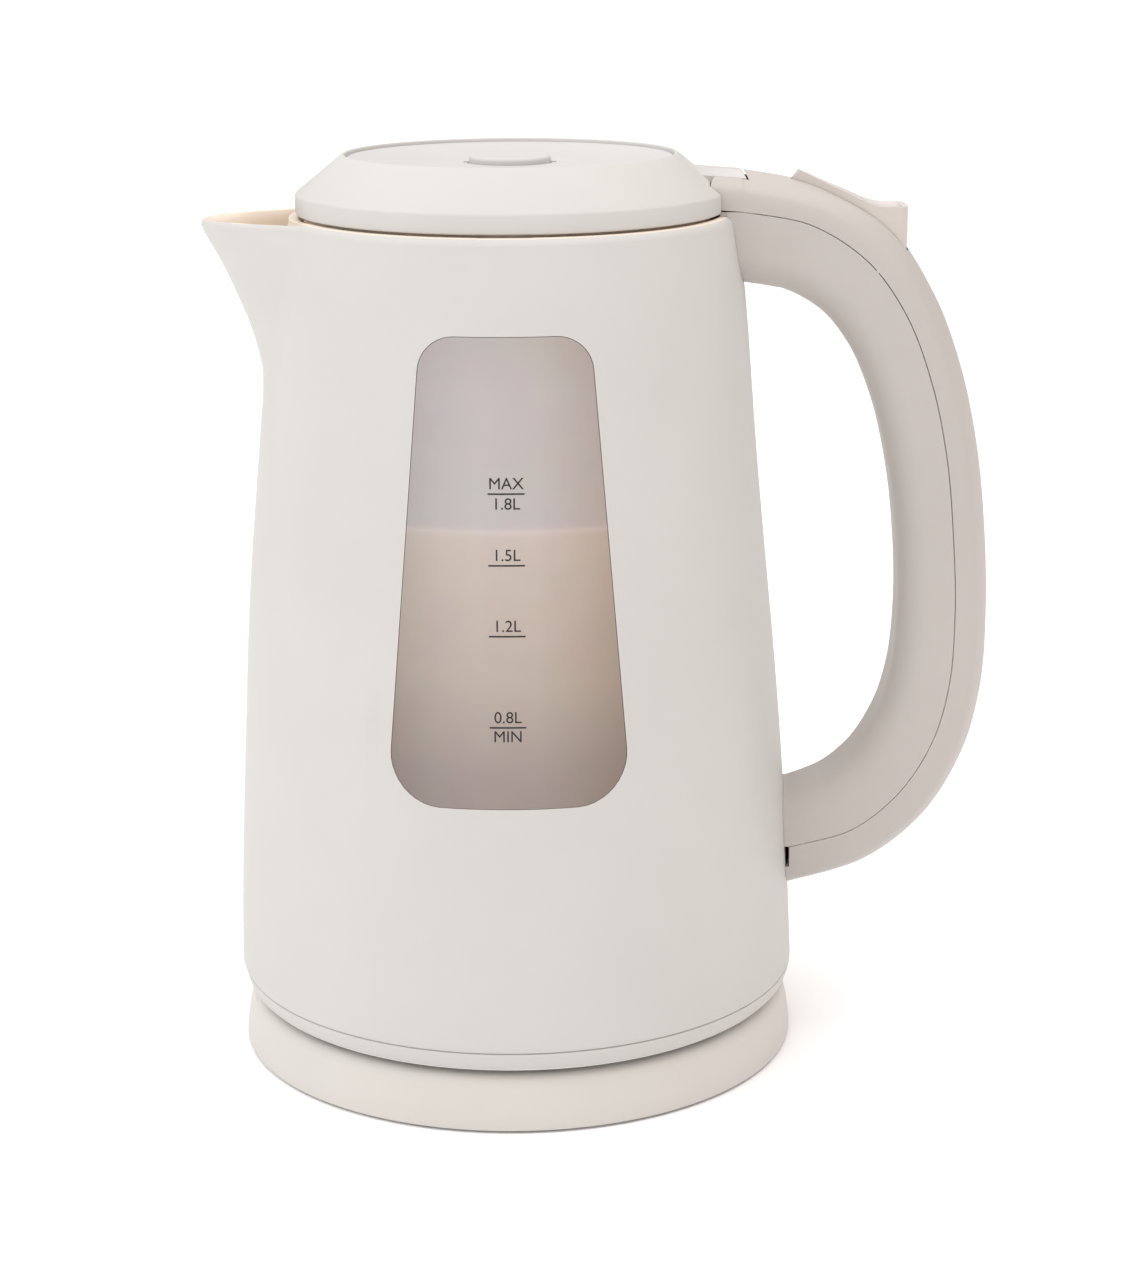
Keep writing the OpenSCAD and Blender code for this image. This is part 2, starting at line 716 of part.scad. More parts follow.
function spline(a, b, c, d, t) =
    ((-t + 2 * t * t - t * t * t) * a + (2 - 5 * t * t + 3 * t * t * t) * b
     + (t + 4 * t * t - 3 * t * t * t) * c + (-t * t + t * t * t) * d) / 2;

last = len(stations) - 1;
function along(s) =
    let (k = min(floor(s), last - 1), t = s - k)
    spline(stations[max(k - 1, 0)], stations[k], stations[k + 1], stations[min(k + 2, last)], t);

// Depth that the lower end of the outer line lies in the jug's side
foot_in = 1.6;
function outer_point(s) = let (p = along(s))
    [mix(belly_r - foot_in, handle_x, p[1]) + handle_bulge * p[0], handle_low_z + handle_h * p[1]];

// Direction from the outer line into the handle: straight up or down at its two ends
function inward(s) =
    s <= 0 ? [0, -1] : s >= last ? [0, 1]
    : let (d = outer_point(min(s + 0.1, last)) - outer_point(max(s - 0.1, 0)), n = norm(d)) [d[1], -d[0]] / n;

half_w = handle_w / 2;
crown = 5.3;

// A section given in depth and width, placed at a station
function section_at(s, section) =
    let (o = outer_point(s), n = inward(s))
    [for (p = section) [o[0] + n[0] * p[0], p[1], o[1] + n[1] * p[0]]];

function mirror_section(half) = concat(half, [for (i = [len(half) - 1 : -1 : 0]) [half[i][0], -half[i][1]]]);

grip_corner = 9;
function grip_section(seam, depth) =
    flip(mirror_section(concat(
        [[depth - handle_wall - 0.5, half_w - handle_wall - 3], [depth - handle_wall - 3.5, half_w - handle_wall],
         [seam + 0.05, half_w - handle_wall], [seam + 0.05, half_w]],
        [for (i = [0 : 3]) let (a = 30 * i) [depth - grip_corner + grip_corner * sin(a), half_w - grip_corner + grip_corner * cos(a)]])));

function cover_section(seam) =
    mirror_section([[handle_wall, 3], [crown + 1.2, half_w - handle_wall - 2.8], [crown + 2.5, half_w - handle_wall - 1.6],
        [seam + 2.4, half_w - handle_wall - 1.6], [seam + 2.4, half_w - handle_wall - 0.15], [seam - 0.05, half_w - handle_wall - 0.15],
        [seam - 0.05, half_w], [crown + 1.5, half_w - 0.4], [crown - 0.9, half_w - 1.6], [2.4, half_w - 5],
        [0.5, half_w - 9.5], [0, 2]]);

module handle_sweep(grip) {
    rings = [for (i = [0 : last * per_station])
        let (s = i / per_station, p = along(s), depth = handle_depth * p[2], seam = handle_depth * p[3])
        section_at(s, grip ? grip_section(seam, depth) : cover_section(seam))];
    // Both ends run on into the jug, whose wall then cuts them to shape
    loft(concat([[for (p = rings[0]) p - [2.6, 0, 0]]], rings, [[for (p = rings[len(rings) - 1]) p - [3, 0, 0]]]));
}

module ear_shape(r, y0, y1) {
    both_sides() translate([hinge_x, y1, hinge_z]) rotate([90, 0, 0]) cylinder(r = r, h = y1 - y0, $fn = 64);
}

handle_seam_z = handle_top_z - handle_depth * 0.345;

module handle_grip() {
    color("wheat")
    difference() {
        union() {
            difference() {
                handle_sweep(true);
                jug_outside(0.05);
            }
            // Front wall against the jug, with the steam port and two fixing screws
            difference() {
                block([handle_x - 3, -(half_w - 1.5), handle_top_z - handle_depth + 2], [neck_r + 2, half_w - 1.5, handle_seam_z - 0.1]);
                jug_outside(0.05);
            }
            // Boss of the lower fixing screw
            difference() {
                translate([belly_r - 10, 0, lower_screw_z]) rotate([0, 90, 0]) cylinder(r = 3.6, h = 16, $fn = 40);
                jug_outside(0.05);
            }
            difference() {
                block([belly_r - 5, -1.5, lower_screw_z], [belly_r + 5, 1.5, handle_low_z + handle_depth - 2]);
                jug_outside(0.05);
            }
            // Ears of the lid's hinge, standing in the rim's recess
            difference() {
                union() {
                    ear_shape(ear_r, ear_y, ear_end);
                    both_sides() block([hinge_x - 2, ear_y, rim_z - 1.55], [cover_front - 0.1, ear_end, hinge_z]);
                    both_sides() block([hinge_x, ear_y, rim_z - 1.55], [cover_front - 0.1, ear_end, handle_top_z - 0.6]);
                    both_sides() block([rim_r + 0.5, ear_y, rim_z - 6], [neck_r + 1, ear_end, handle_seam_z - 0.1]);
                }
                block([cover_front - 0.1, -half_w, handle_seam_z - 0.1], [cover_front + 10, half_w, handle_top_z + 5]);
                block([0, -half_w, rim_z - 10], [rim_r + 0.05, half_w, rim_z - 1.55]);
            }
            // Seats of the switch frame
            for (x = [-8, 10]) block([pivot_x + x - 2, -(half_w - 2), lever_z - 8.5], [pivot_x + x + 2, half_w - 2, lever_z - 5]);
        }
        ear_shape(hinge_pin_r + 0.02, ear_y - 1, ear_end - 1);
        translate([belly_r - 12, 0, lower_screw_z]) rotate([0, 90, 0]) cylinder(r = screw_hole_r, h = 20, $fn = 24);
        translate([mouth_r, 0, steam_z]) rotate([0, 90, 0]) cylinder(r = 3, h = 14, $fn = 32);
        both_sides() translate([mouth_r, upper_screw_y, upper_screw_z]) rotate([0, 90, 0]) cylinder(r = screw_r + 0.2, h = 14, $fn = 24);
        both_sides() translate([neck_r + 1, upper_screw_y, upper_screw_z]) rotate([0, 90, 0]) cylinder(r = head_r + 0.2, h = 10, $fn = 32);
    }
}

paddle_front = pivot_x - 9.3;
paddle_rear = paddle_front + paddle_len;

module handle_cover() {
    color("ivory")
    difference() {
        union() {
            difference() {
                handle_sweep(false);
                jug_outside(0.05);
                block([0, -half_w, handle_seam_z - 5], [cover_front, half_w, handle_top_z + 5]);
                // Room for the grip's front wall behind the cover's tongue
                block([handle_x - 5, -half_w + handle_wall, handle_seam_z - 5], [neck_r + 2.4, half_w - handle_wall, handle_seam_z + 0.05]);
                // Slot at the lower end, where the cover stands off the jug
                block([0, -half_w - 1, handle_low_z + 9.3], [belly_r - 1.3, half_w + 1, handle_low_z + 17]);
            }
            // Bearings of the paddle, on the cover's side walls
            both_sides() translate([pivot_x, half_w - 2, pivot_z]) rotate([90, 0, 0])
                cylinder(r = 2.9, h = half_w - 2 - paddle_w / 2 - 0.5, $fn = 40);
        }
        both_sides() translate([pivot_x, half_w - 2.6, pivot_z]) rotate([90, 0, 0])
            cylinder(r = pivot_r + pin_gap, h = half_w, $fn = 40);
        // Opening for the paddle
        block([paddle_front - 0.7, -paddle_w / 2 - move_gap, pivot_z - 14], [paddle_rear + 0.5, paddle_w / 2 + move_gap, handle_top_z + 5]);
    }
}

module handle_screws() {
    color("silver") {
        translate([jug_r(lower_screw_z) - wall - 0.15, 0, lower_screw_z]) rotate([0, 90, 0]) screw(wall + 8);
        both_sides() translate([neck_r + 1, upper_screw_y, upper_screw_z]) rotate([0, -90, 0]) screw(neck_r - mouth_r - 1);
    }
}

// ---- Switch in the handle ----

frame_z = lever_z - 5;
frame_t = 1.2;
lever_pin_r = 1;
disc_seat_x = pivot_x - 11;

module switch_frame() {
    color("dimgray")
    difference() {
        union() {
            block([disc_seat_x - 8, -9, frame_z + 0.05], [pivot_x + 15, 9, frame_z + frame_t]);
            translate([disc_seat_x, 0, frame_z + 0.1]) cylinder(r = 8.6, h = 2, $fn = 64);
            both_sides() block([pivot_x - 2.5, 1.9, frame_z + 0.1], [pivot_x + 2.5, 4, lever_z]);
            both_sides() translate([pivot_x, 4, lever_z]) rotate([90, 0, 0]) cylinder(r = 2.5, h = 2.1, $fn = 40);
            translate([pivot_x + 9, 0, frame_z + 0.1]) cylinder(r = 3, h = 3, $fn = 40);
        }
        rod_y(lever_pin_r + pin_gap, pivot_x, lever_z, 8);
        translate([disc_seat_x, 0, frame_z + frame_t]) cylinder(r = 7.3, h = 3, $fn = 64);
        translate([pivot_x + 9, 0, frame_z + frame_t]) cylinder(r = 2.1, h = 6, $fn = 32);
    }
}

module steam_disc() {
    color("silver")
    translate([disc_seat_x, 0, frame_z + frame_t]) {
        cylinder(r = 7, h = 0.4, $fn = 48);
        translate([0, 0, 0.4]) cylinder(r1 = 6.5, r2 = 2, h = 0.3, $fn = 48);
    }
}

module switch_contacts() {
    color("goldenrod")
    both_sides() {
        block([pivot_x + 4, 4.6, frame_z + frame_t], [pivot_x + 14, 7.4, frame_z + frame_t + 0.6]);
        block([pivot_x + 4, 4.6, frame_z + frame_t + 0.6], [pivot_x + 6, 7.4, frame_z + frame_t + 2.4]);
        block([pivot_x + 4, 4.6, frame_z + frame_t + 2.4], [pivot_x + 11, 7.4, frame_z + frame_t + 2.9]);
    }
}

module lamp() {
    color("orange")
    translate([pivot_x + 9, 0, frame_z + frame_t]) {
        cylinder(r = 2, h = 5.5, $fn = 32);
        translate([0, 0, 5.5]) sphere(r = 2, $fn = 32);
    }
}

// Two insulated wires from the switch, down the handle and in through the jug's wall to the control
wire_r = 1.3;
wire_y = 2.2;
wire_points = concat(
    [[pivot_x + 15.1, frame_z + frame_t + wire_r], [pivot_x + 18, frame_z + frame_t + wire_r]],
    [for (k = [6 : 21]) outer_point(k / 2) + inward(k / 2) * handle_depth * (k < 18 ? 0.5 : mix(0.5, 0.36, (k - 18) / 3))],
    [[belly_r + 7, wire_z + 1], [belly_r + 3, wire_z], [belly_r - 12, wire_z], [control_r - 2 + 0.1, wire_z]]);

module lead_wires() {
    n = len(wire_points);
    color("firebrick")
    both_sides()
        loft([for (i = [0 : n - 1])
            let (p = wire_points[i], d = wire_points[min(i + 1, n - 1)] - wire_points[max(i - 1, 0)],
                 side = [d[1], -d[0]] / norm(d))
            [for (j = [0 : 7]) let (b = -45 * j)
                [p[0] + side[0] * wire_r * sin(b), wire_y + wire_r * cos(b), p[1] + side[1] * wire_r * sin(b)]]]);
}

module trip_lever() {
    color("white") {
        difference() {
            union() {
                rod_y(2.4, pivot_x, lever_z, 1.5);
                block([pivot_x - 3.4, -1.5, lever_z], [pivot_x + 3.4, 1.5, lever_z + mesh_arm + 0.9]);
                block([disc_seat_x - 1.5, -1.5, lever_z - 0.8], [pivot_x, 1.5, lever_z + 0.8]);
            }
            block([pivot_x - 2, -3, lever_z + 3], [pivot_x + 2, 3, lever_z + mesh_arm + 3]);
        }
        both_sides() translate([pivot_x, 3.9, lever_z]) rotate([90, 0, 0]) cylinder(r = lever_pin_r, h = 3, $fn = 32);
    }
}

stretch = paddle_len / 32.5;
paddle_top = [for (p = [[-7.3, 12.9], [-1.1, 10.2], [4.6, 7.3], [10.4, 3.7], [14.7, 2.3], [19, 1.8], [23.2, 2.2]])
    [pivot_x + p[0] * (p[0] > 0 ? (paddle_len - 9.3) / 23.2 : 1), pivot_z + p[1]]];
lens_top = [for (i = [1 : 5]) paddle_top[i]];
lens_w = paddle_w - 4.4;
lens_t = 1.2;

module slab(points, half) {
    translate([0, half, 0]) rotate([90, 0, 0]) linear_extrude(height = 2 * half) polygon(points);
}

module power_paddle() {
    color("ivory")
    difference() {
        union() {
            slab(concat(paddle_top, [[paddle_rear, pivot_z - 4.4], [paddle_rear - 0.4, pivot_z - 8.4],
                [paddle_rear - 2.5, pivot_z - 8.2], [paddle_rear - 11, pivot_z - 2.6], [pivot_x + 3, pivot_z - 3],
                [pivot_x - 3, pivot_z - 3], [pivot_x - 4.5, pivot_z + 2], [paddle_front, pivot_z + 10.6]]), paddle_w / 2);
            rod_y(pivot_r, pivot_x, pivot_z, half_w - 2.8);
            block([pivot_x - 1.2, -1.5, pivot_z - mesh_arm - 0.8], [pivot_x + 1.2, 1.5, pivot_z - 2]);
        }
        slab(concat([for (p = lens_top) p + [0, 2]], flip([for (p = lens_top) p - [0, lens_t + 0.05]])), lens_w / 2 + 0.05);
    }
}

module paddle_lens() {
    color("lightgray", 0.8)
    slab(concat([for (p = lens_top) p - [0, 0.15]], flip([for (p = lens_top) p - [0, lens_t]])), lens_w / 2 - 0.02);
}

// ---- Lid and its hinge ----

module hinge_pin() {
    color("silver")
    rod_y(hinge_pin_r, hinge_x, hinge_z, ear_end - 1.1);
}

spring_wire = 0.42;
spring_half = 3;

module hinge_spring() {
    color("silver")
    translate([hinge_x, spring_half, hinge_z]) rotate([90, 0, 0])
        coil(hinge_pin_r + 0.35 + spring_wire, spring_wire, 5, 2 * spring_half, 6, 10);
}

module lid_shell() {
    shoulder = lid_z + lid_band_h;
    color("ivory")
    difference() {
        union() {
            difference() {
                rotate_extrude()
                    polygon([[lid_r, lid_z], [lid_r, shoulder - 0.6], [lid_r - 0.5, shoulder + 0.3],
                        [dish_r + 1.8, lid_top_z - 0.4], [dish_r + 0.9, lid_top_z], [dish_r, lid_top_z - 0.6],
                        [dish_r, disc_z], [dish_r - seat_w, disc_z], [dish_r - seat_w, disc_z - seat_t],
                        [dish_r + 5.8, disc_z - seat_t], [plug_r - skirt_t, shoulder + 0.6],
                        [plug_r - skirt_t, skirt_z], [plug_r, skirt_z], [plug_r, lid_z]]);
                // Room for the hinge ears
                block([hinge_x - 3.8, -ear_end - 0.4, skirt_z - 1], [hinge_x + 10, ear_end + 0.4, hinge_z]);
                rod_y(ear_r + 0.8, hinge_x, hinge_z, ear_end + 0.4, 12);
                block([hinge_x, -ear_end - 0.4, skirt_z - 1], [hinge_x + 10, ear_end + 0.4, lid_top_z + 1]);
            }
            // Knuckles between the ears, with the web that joins them to the lid
            rod_y(3.4, hinge_x, hinge_z, ear_y - 0.3, 64);
            block([hinge_x - 9, -ear_y + 0.3, hinge_z - 2.5], [hinge_x, ear_y - 0.3, hinge_z]);
            block([hinge_x - 9, -ear_y + 0.3, hinge_z - 1], [hinge_x - 2, ear_y - 0.3, hinge_z + 2.6]);
            around(4, lid_screw_r - 2, 45) translate([0, 0, plate_in_z + 2 + 0.02])
                cylinder(r = boss_r, h = disc_z - seat_t - plate_in_z - 1, $fn = 32);
        }
        rod_y(hinge_pin_r + pin_gap, hinge_x, hinge_z, ear_y + 1, 64);
        rod_y(4, hinge_x, hinge_z, spring_half + 0.3, 64);
        around(4, lid_screw_r - 2, 45) translate([0, 0, plate_in_z]) cylinder(r = screw_hole_r, h = 12, $fn = 24);
        // Windows in the skirt for the latch bolts
        both_sides() block([-bolt_w / 2 - 0.3, plug_r - skirt_t - 2, skirt_z - 1], [bolt_w / 2 + 0.3, plug_r + 1, bolt_z + bolt_t + 0.3]);
    }
}

module lid_disc() {
    color("gainsboro")
    difference() {
        ring(button_r + move_gap, dish_r - seat_gap, disc_z, disc_z + disc_t);
    }
}

post_in_r = 2.3;
rail_z = bolt_z - move_gap;

module lid_inner() {
    color("ivory")
    difference() {
        union() {
            translate([0, 0, skirt_z - 2]) ring(cup_r - 2, plug_r, 0, 1.98);
            ring(cup_r - 2, cup_r, plate_in_z, skirt_z - 1);
            translate([0, 0, plate_in_z]) cylinder(r = cup_r, h = 2);
            rod(post_in_r, 0, 0, plate_in_z + 1, skirt_z + 11);
            rod(4.6, 0, 0, plate_in_z + 1, skirt_z - 1);
            both_sides() for (y = [17, 44]) block([-bolt_w / 2 - 2, y, plate_in_z + 1], [bolt_w / 2 + 2, y + 2, rail_z]);
        }
        around(4, lid_screw_r - 2, 45) {
            translate([0, 0, plate_in_z - 1]) cylinder(r = screw_r + 0.3, h = 6, $fn = 24);
            translate([0, 0, plate_in_z - 1]) cylinder(r = head_r + 0.3, h = 1 + 0.8, $fn = 32);
        }
        // Steam vents towards the handle
        for (a = [-20, 0, 20]) rotate(a) translate([cup_r - 12, -1.2, plate_in_z - 1]) cube([8, 2.4, 4]);
        // Channels for the bolts' underside
        both_sides() block([-bolt_w / 2 - 0.3, cup_r - 3, rail_z], [bolt_w / 2 + 0.3, plug_r + 1, rail_z + 4]);
    }
}

module lid_seal() {
    color("gray")
    ring(cup_r + 0.05, plug_r - 0.4, ledge_z + 0.2, skirt_z - 2);
}

module lid_screws() {
    color("silver")
    around(4, lid_screw_r - 2, 45) translate([0, 0, plate_in_z + 0.8]) rotate(0) screw(7);
}

button_top_z = lid_top_z - 0.8;
button_t = 2.2;
leg_x = 5.1;
leg_t = 1.5;
cheek_x = leg_x + leg_t + 0.4;
cheek_t = 2;
cam_pin_r = 1.1;
cam_y = 6;
cam_z = bolt_z + 5;

module lid_button() {
    color("ivory")
    difference() {
        union() {
            rotate_extrude()
                polygon(concat([[0, button_top_z - button_t], [button_r - 2, button_top_z - button_t],
                    [button_r - 2, button_top_z - 8], [button_r, button_top_z - 8]],
                    arc(button_r - 1, button_top_z - 1, 1, 0, 90, 4), [[0, button_top_z]]));
            for (s = [-1, 1]) {
                block([s * (leg_x + leg_t / 2) - leg_t / 2, -8, cam_z - 2], [s * (leg_x + leg_t / 2) + leg_t / 2, 8, button_top_z - 1]);
                for (t = [-1, 1]) translate([s * (leg_x + leg_t + cheek_t / 2), t * cam_y, cam_z]) rotate([0, 90, 0])
                    cylinder(r = cam_pin_r, h = cheek_t + 1.6, center = true, $fn = 32);
            }
        }
        translate([0, 0, button_top_z - 30]) cylinder(r = leg_x - 0.1, h = 30 - button_t, $fn = 64);
    }
}

module button_spring() {
    color("silver")
    translate([0, 0, skirt_z - 1]) coil(3.5, 0.4, 5, button_top_z - button_t - skirt_z + 1, 6, 12);
}

// Latch bolt on the +Y side
module latch() {
    cheek_h = cam_z + 2.6 - bolt_z;
    color("white")
    difference() {
        union() {
            block([-bolt_w / 2, 20, bolt_z], [bolt_w / 2, nose_y, bolt_z + bolt_t]);
            block([-cheek_x - cheek_t, 12, bolt_z], [cheek_x + cheek_t, 21, bolt_z + bolt_t]);
            for (s = [-1, 1]) block([s * (cheek_x + cheek_t / 2) - cheek_t / 2, 3.2, bolt_z],
                [s * (cheek_x + cheek_t / 2) + cheek_t / 2, 13, bolt_z + cheek_h]);
        }
        // Sloping slots for the button's cam pins
        translate([0, cam_y + button_travel / 2, cam_z - button_travel / 2]) rotate([-45, 0, 0])
            cube([2 * (cheek_x + cheek_t + 1), button_travel * sqrt(2) + 2 * cam_pin_r + 0.5, 2 * cam_pin_r + 0.6], center = true);
        // Chamfer under the nose, so that the closing lid draws the bolt in
        translate([0, nose_y, bolt_z]) rotate([45, 0, 0]) cube([bolt_w + 2, 2, 2], center = true);
    }
}

module latch_rear() { latch(); }

module latch_front() { mirror([0, 1, 0]) latch(); }

base_top();
base_bottom();
base_foot();
base_screws();
base_connector();
base_contacts();
cord_gland();
shutter_ring();
body_shell();
gauge_window();
bottom_cover();
bottom_screws();
jug_socket();
socket_contacts();
control_unit();
control_screws();
dry_boil_discs();
heating_plate();
plate_seal();
heat_diffuser();
heater_tube();
heater_leads();
clamp_ring();
clamp_screws();
spout_filter();
handle_grip();
handle_cover();
handle_screws();
switch_frame();
steam_disc();
switch_contacts();
lamp();
lead_wires();
hinge_pin();
hinge_spring();
lid_shell();
lid_disc();
lid_inner();
lid_seal();
lid_screws();
lid_button();
button_spring();
latch_front();
latch_rear();
power_paddle();
paddle_lens();
trip_lever();
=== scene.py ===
import json
import math

import bmesh
import bpy
import numpy as np
from mathutils import Matrix, Vector


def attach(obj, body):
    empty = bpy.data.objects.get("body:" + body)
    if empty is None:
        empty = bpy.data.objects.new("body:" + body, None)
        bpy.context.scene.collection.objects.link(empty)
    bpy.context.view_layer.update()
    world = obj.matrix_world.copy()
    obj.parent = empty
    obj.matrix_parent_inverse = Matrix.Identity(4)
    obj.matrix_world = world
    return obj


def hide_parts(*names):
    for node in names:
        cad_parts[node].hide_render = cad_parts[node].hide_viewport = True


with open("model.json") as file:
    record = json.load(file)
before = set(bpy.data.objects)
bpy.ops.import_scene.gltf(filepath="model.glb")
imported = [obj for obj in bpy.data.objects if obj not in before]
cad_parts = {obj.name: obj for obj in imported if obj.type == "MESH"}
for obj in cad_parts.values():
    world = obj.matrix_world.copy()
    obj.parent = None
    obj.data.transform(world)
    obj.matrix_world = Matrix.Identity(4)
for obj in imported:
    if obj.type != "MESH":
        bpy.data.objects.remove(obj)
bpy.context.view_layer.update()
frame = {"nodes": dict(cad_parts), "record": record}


# ---- Camera ----
# A long lens a little above the lid that looks down at the front of the jug, as for a catalogue picture.
# Its place is in metres, and its three angles are in degrees: heading, downward pitch and roll.
camera_place = (0.02219, -0.79449, 0.33345)
camera_heading, camera_pitch, camera_roll = (math.radians(a) for a in (-0.41, 15.053, -0.2987))
forward = Vector((math.sin(camera_heading) * math.cos(camera_pitch),
                  math.cos(camera_heading) * math.cos(camera_pitch), -math.sin(camera_pitch)))
right = Vector((math.cos(camera_heading), -math.sin(camera_heading), 0))
above = right.cross(forward)
tilted_right = math.cos(camera_roll) * right + math.sin(camera_roll) * above
tilted_above = -math.sin(camera_roll) * right + math.cos(camera_roll) * above
camera_turn = Matrix((tilted_right, tilted_above, -forward)).transposed().to_4x4()
camera = bpy.data.objects.new("camera", bpy.data.cameras.new("camera"))
bpy.context.scene.collection.objects.link(camera)
camera.matrix_world = Matrix.Translation(camera_place) @ camera_turn
camera.data.sensor_width = 36
camera.data.lens = 78.585
camera.data.clip_start = 0.01
bpy.context.scene.camera = camera


# ---- Light ----
# A broad soft box high on the left, a weaker one above the handle, and a pale room all round that is
# warmer and darker to the right and brighter overhead, so that the object's right side shades off softly.
def add_node(tree, kind, inputs={}, stops=(), **settings):
    """Adds a node with its settings; an input takes a value or a link, a ramp takes (place, colour) stops."""
    node = tree.nodes.new(kind)
    for name, value in settings.items():
        setattr(node, name, value)
    for socket, given in inputs.items():
        if isinstance(given, bpy.types.NodeSocket):
            tree.links.new(given, node.inputs[socket])
        else:
            node.inputs[socket].default_value = given
    if stops:
        marks = node.color_ramp.elements
        while len(marks) < len(stops):
            marks.new(0.5)
        for mark, (place, colour) in zip(marks, stops):
            mark.position = place
            mark.color = colour
    return node


left_wall, right_wall = (0.94, 0.955, 0.965, 1), (0.625, 0.563, 0.545, 1)
floor_strength, ceiling_strength = 0.5, 2.25
world = bpy.data.worlds.new("studio")
bpy.context.scene.world = world
world.use_nodes = True
room = world.node_tree
facing = add_node(room, "ShaderNodeTexCoord")
axes = add_node(room, "ShaderNodeSeparateXYZ", {0: facing.outputs["Generated"]})
side = add_node(room, "ShaderNodeMapRange", {"Value": axes.outputs["X"], "From Min": -1})
walls = add_node(room, "ShaderNodeValToRGB", {"Fac": side.outputs["Result"]},
                 [(0, left_wall), (1, right_wall)])
height = add_node(room, "ShaderNodeMapRange", {"Value": axes.outputs["Z"], "To Min": floor_strength,
                                               "To Max": ceiling_strength})
room.links.new(walls.outputs["Color"], room.nodes["Background"].inputs["Color"])
room.links.new(height.outputs["Result"], room.nodes["Background"].inputs["Strength"])

for name, size, watts, place, aim in (("soft_box", 0.9, 2.0, (-0.72, -0.62, 0.85), (0, 0, 0.13)),
                                      ("top_box", 0.7, 1.5, (0.42, -0.2, 0.98), (0.08, 0, 0.2))):
    lamp = bpy.data.objects.new(name, bpy.data.lights.new(name, "AREA"))
    bpy.context.scene.collection.objects.link(lamp)
    lamp.data.shape = "DISK"
    lamp.data.size = size
    lamp.data.energy = watts
    lamp.location = place
    lamp.rotation_euler = (lamp.location - Vector(aim)).to_track_quat("Z", "Y").to_euler()
bpy.context.scene.view_settings.view_transform = "Standard"


# ---- Floor ----
# A plain pale sheet of studio paper under the object. It is stage, not a piece of the kettle, and reaches
# so far that its edge is never seen.
MM = 0.001
floor_size = 24
# The grain of a moulded surface, drawn coarser than it is so that it shows
skin_grain, skin_depth = 0.625, 0.05


def linear(code):
    """The linear colour of an sRGB hex code."""
    parts = [int(code[i:i + 2], 16) / 255 for i in (1, 3, 5)]
    return [c / 12.92 if c <= 0.04045 else ((c + 0.055) / 1.055) ** 2.4 for c in parts] + [1]


def material(name):
    """A new material with its node tree, its shader and the object's own coordinates."""
    m = bpy.data.materials.new(name)
    m.use_nodes = True
    tree = m.node_tree
    coords = add_node(tree, "ShaderNodeTexCoord")
    return m, tree, tree.nodes["Principled BSDF"], coords.outputs["Object"]


def emboss(tree, shader, coords, grain, strength, depth):
    """Fine relief on a material, of that grain and depth in millimetres."""
    fine = add_node(tree, "ShaderNodeTexNoise", {"Vector": coords, "Scale": 1000 / grain})
    relief = add_node(tree, "ShaderNodeBump", {"Height": fine.outputs["Fac"], "Strength": strength,
                                               "Distance": depth * MM})
    tree.links.new(relief.outputs["Normal"], shader.inputs["Normal"])


def mottled(name, dark, light, grain, rough, bump=0.0, **constants):
    """A material whose colour and roughness vary a little over a noise of that grain size in millimetres."""
    m, tree, shader, coords = material(name)
    noise = add_node(tree, "ShaderNodeTexNoise", {"Vector": coords, "Scale": 1000 / grain, "Detail": 5})
    tone = add_node(tree, "ShaderNodeValToRGB", {"Fac": noise.outputs["Fac"]},
                    [(0.3, linear(dark)), (0.7, linear(light))])
    spread = add_node(tree, "ShaderNodeMapRange", {"Value": noise.outputs["Fac"], "To Min": rough[0],
                                                   "To Max": rough[1]})
    tree.links.new(tone.outputs["Color"], shader.inputs["Base Color"])
    tree.links.new(spread.outputs["Result"], shader.inputs["Roughness"])
    if bump:
        emboss(tree, shader, coords, skin_grain, bump, skin_depth)
    for socket, value in constants.items():
        shader.inputs[socket.replace("_", " ")].default_value = value
    return m


# Uncoated paper: almost white and without any shine
paper = mottled("matte_white_paper", "#fcfcfc", "#fefefe", 60, (0.9, 1.0), Specular_IOR_Level=0.1)
bpy.ops.mesh.primitive_plane_add(size=floor_size)
floor = bpy.context.object
floor.name = "floor"
floor.data.materials.append(paper)


# ---- Jug ----
# The kettle's body, one injection moulding of matte cream polypropylene: the tapered wall, the rounded rim,
# the open spout and a ledge for the lid's seal. The gauge's opening, the pockets for the lid's latch
# bolts, the steam hole and the notch for the grip's ears are moulded in. Sizes are in millimetres.
rim_z, rim_round = 244.5, 2.3
seam_z = 23.9
shoulder_z, plate_r = 73.2, 67.5
wall = 2.5
mouth_r, mouth_round = 59.0, 1.2
ledge_r, ledge_z = 55.5, 236.5
# Half the span of the handle's ears, which stand in the notch of the rim
ear_end = 13.7
# The wall's outer radius is a polynomial of the height above the wall's middle, in shares of half its height
skin_middle_z, skin_half_h = 130, 110
skin_fit = [-2.262, -3.3803, 2.2544, 5.2405, -1.6512, -10.9064, 74.8938]
# The spout: how far its keel reaches out at each height, its top, depth and lip, and how its nose is rounded
keel_line = [(24, 82.5), (42, 82.2), (74, 80.8), (104, 79.2), (122, 78.2), (140, 76.9), (158, 75.2),
             (175, 73.5), (187, 72.3), (194, 71.6), (200, 71.4), (206, 72.3), (214, 74.5), (224, 78.5),
             (233, 82.7), (240, 86.6), (243.9, 88.3)]
spout_top_z, spout_drop, spout_out = 243.9, 54, 14
nose_bend, nose_bend_more, nose_bend_z, nose_bend_run = 11, 44, 244, 130
spout_blend = 2.5
lip_z, lip_h = 242.6, 1.3


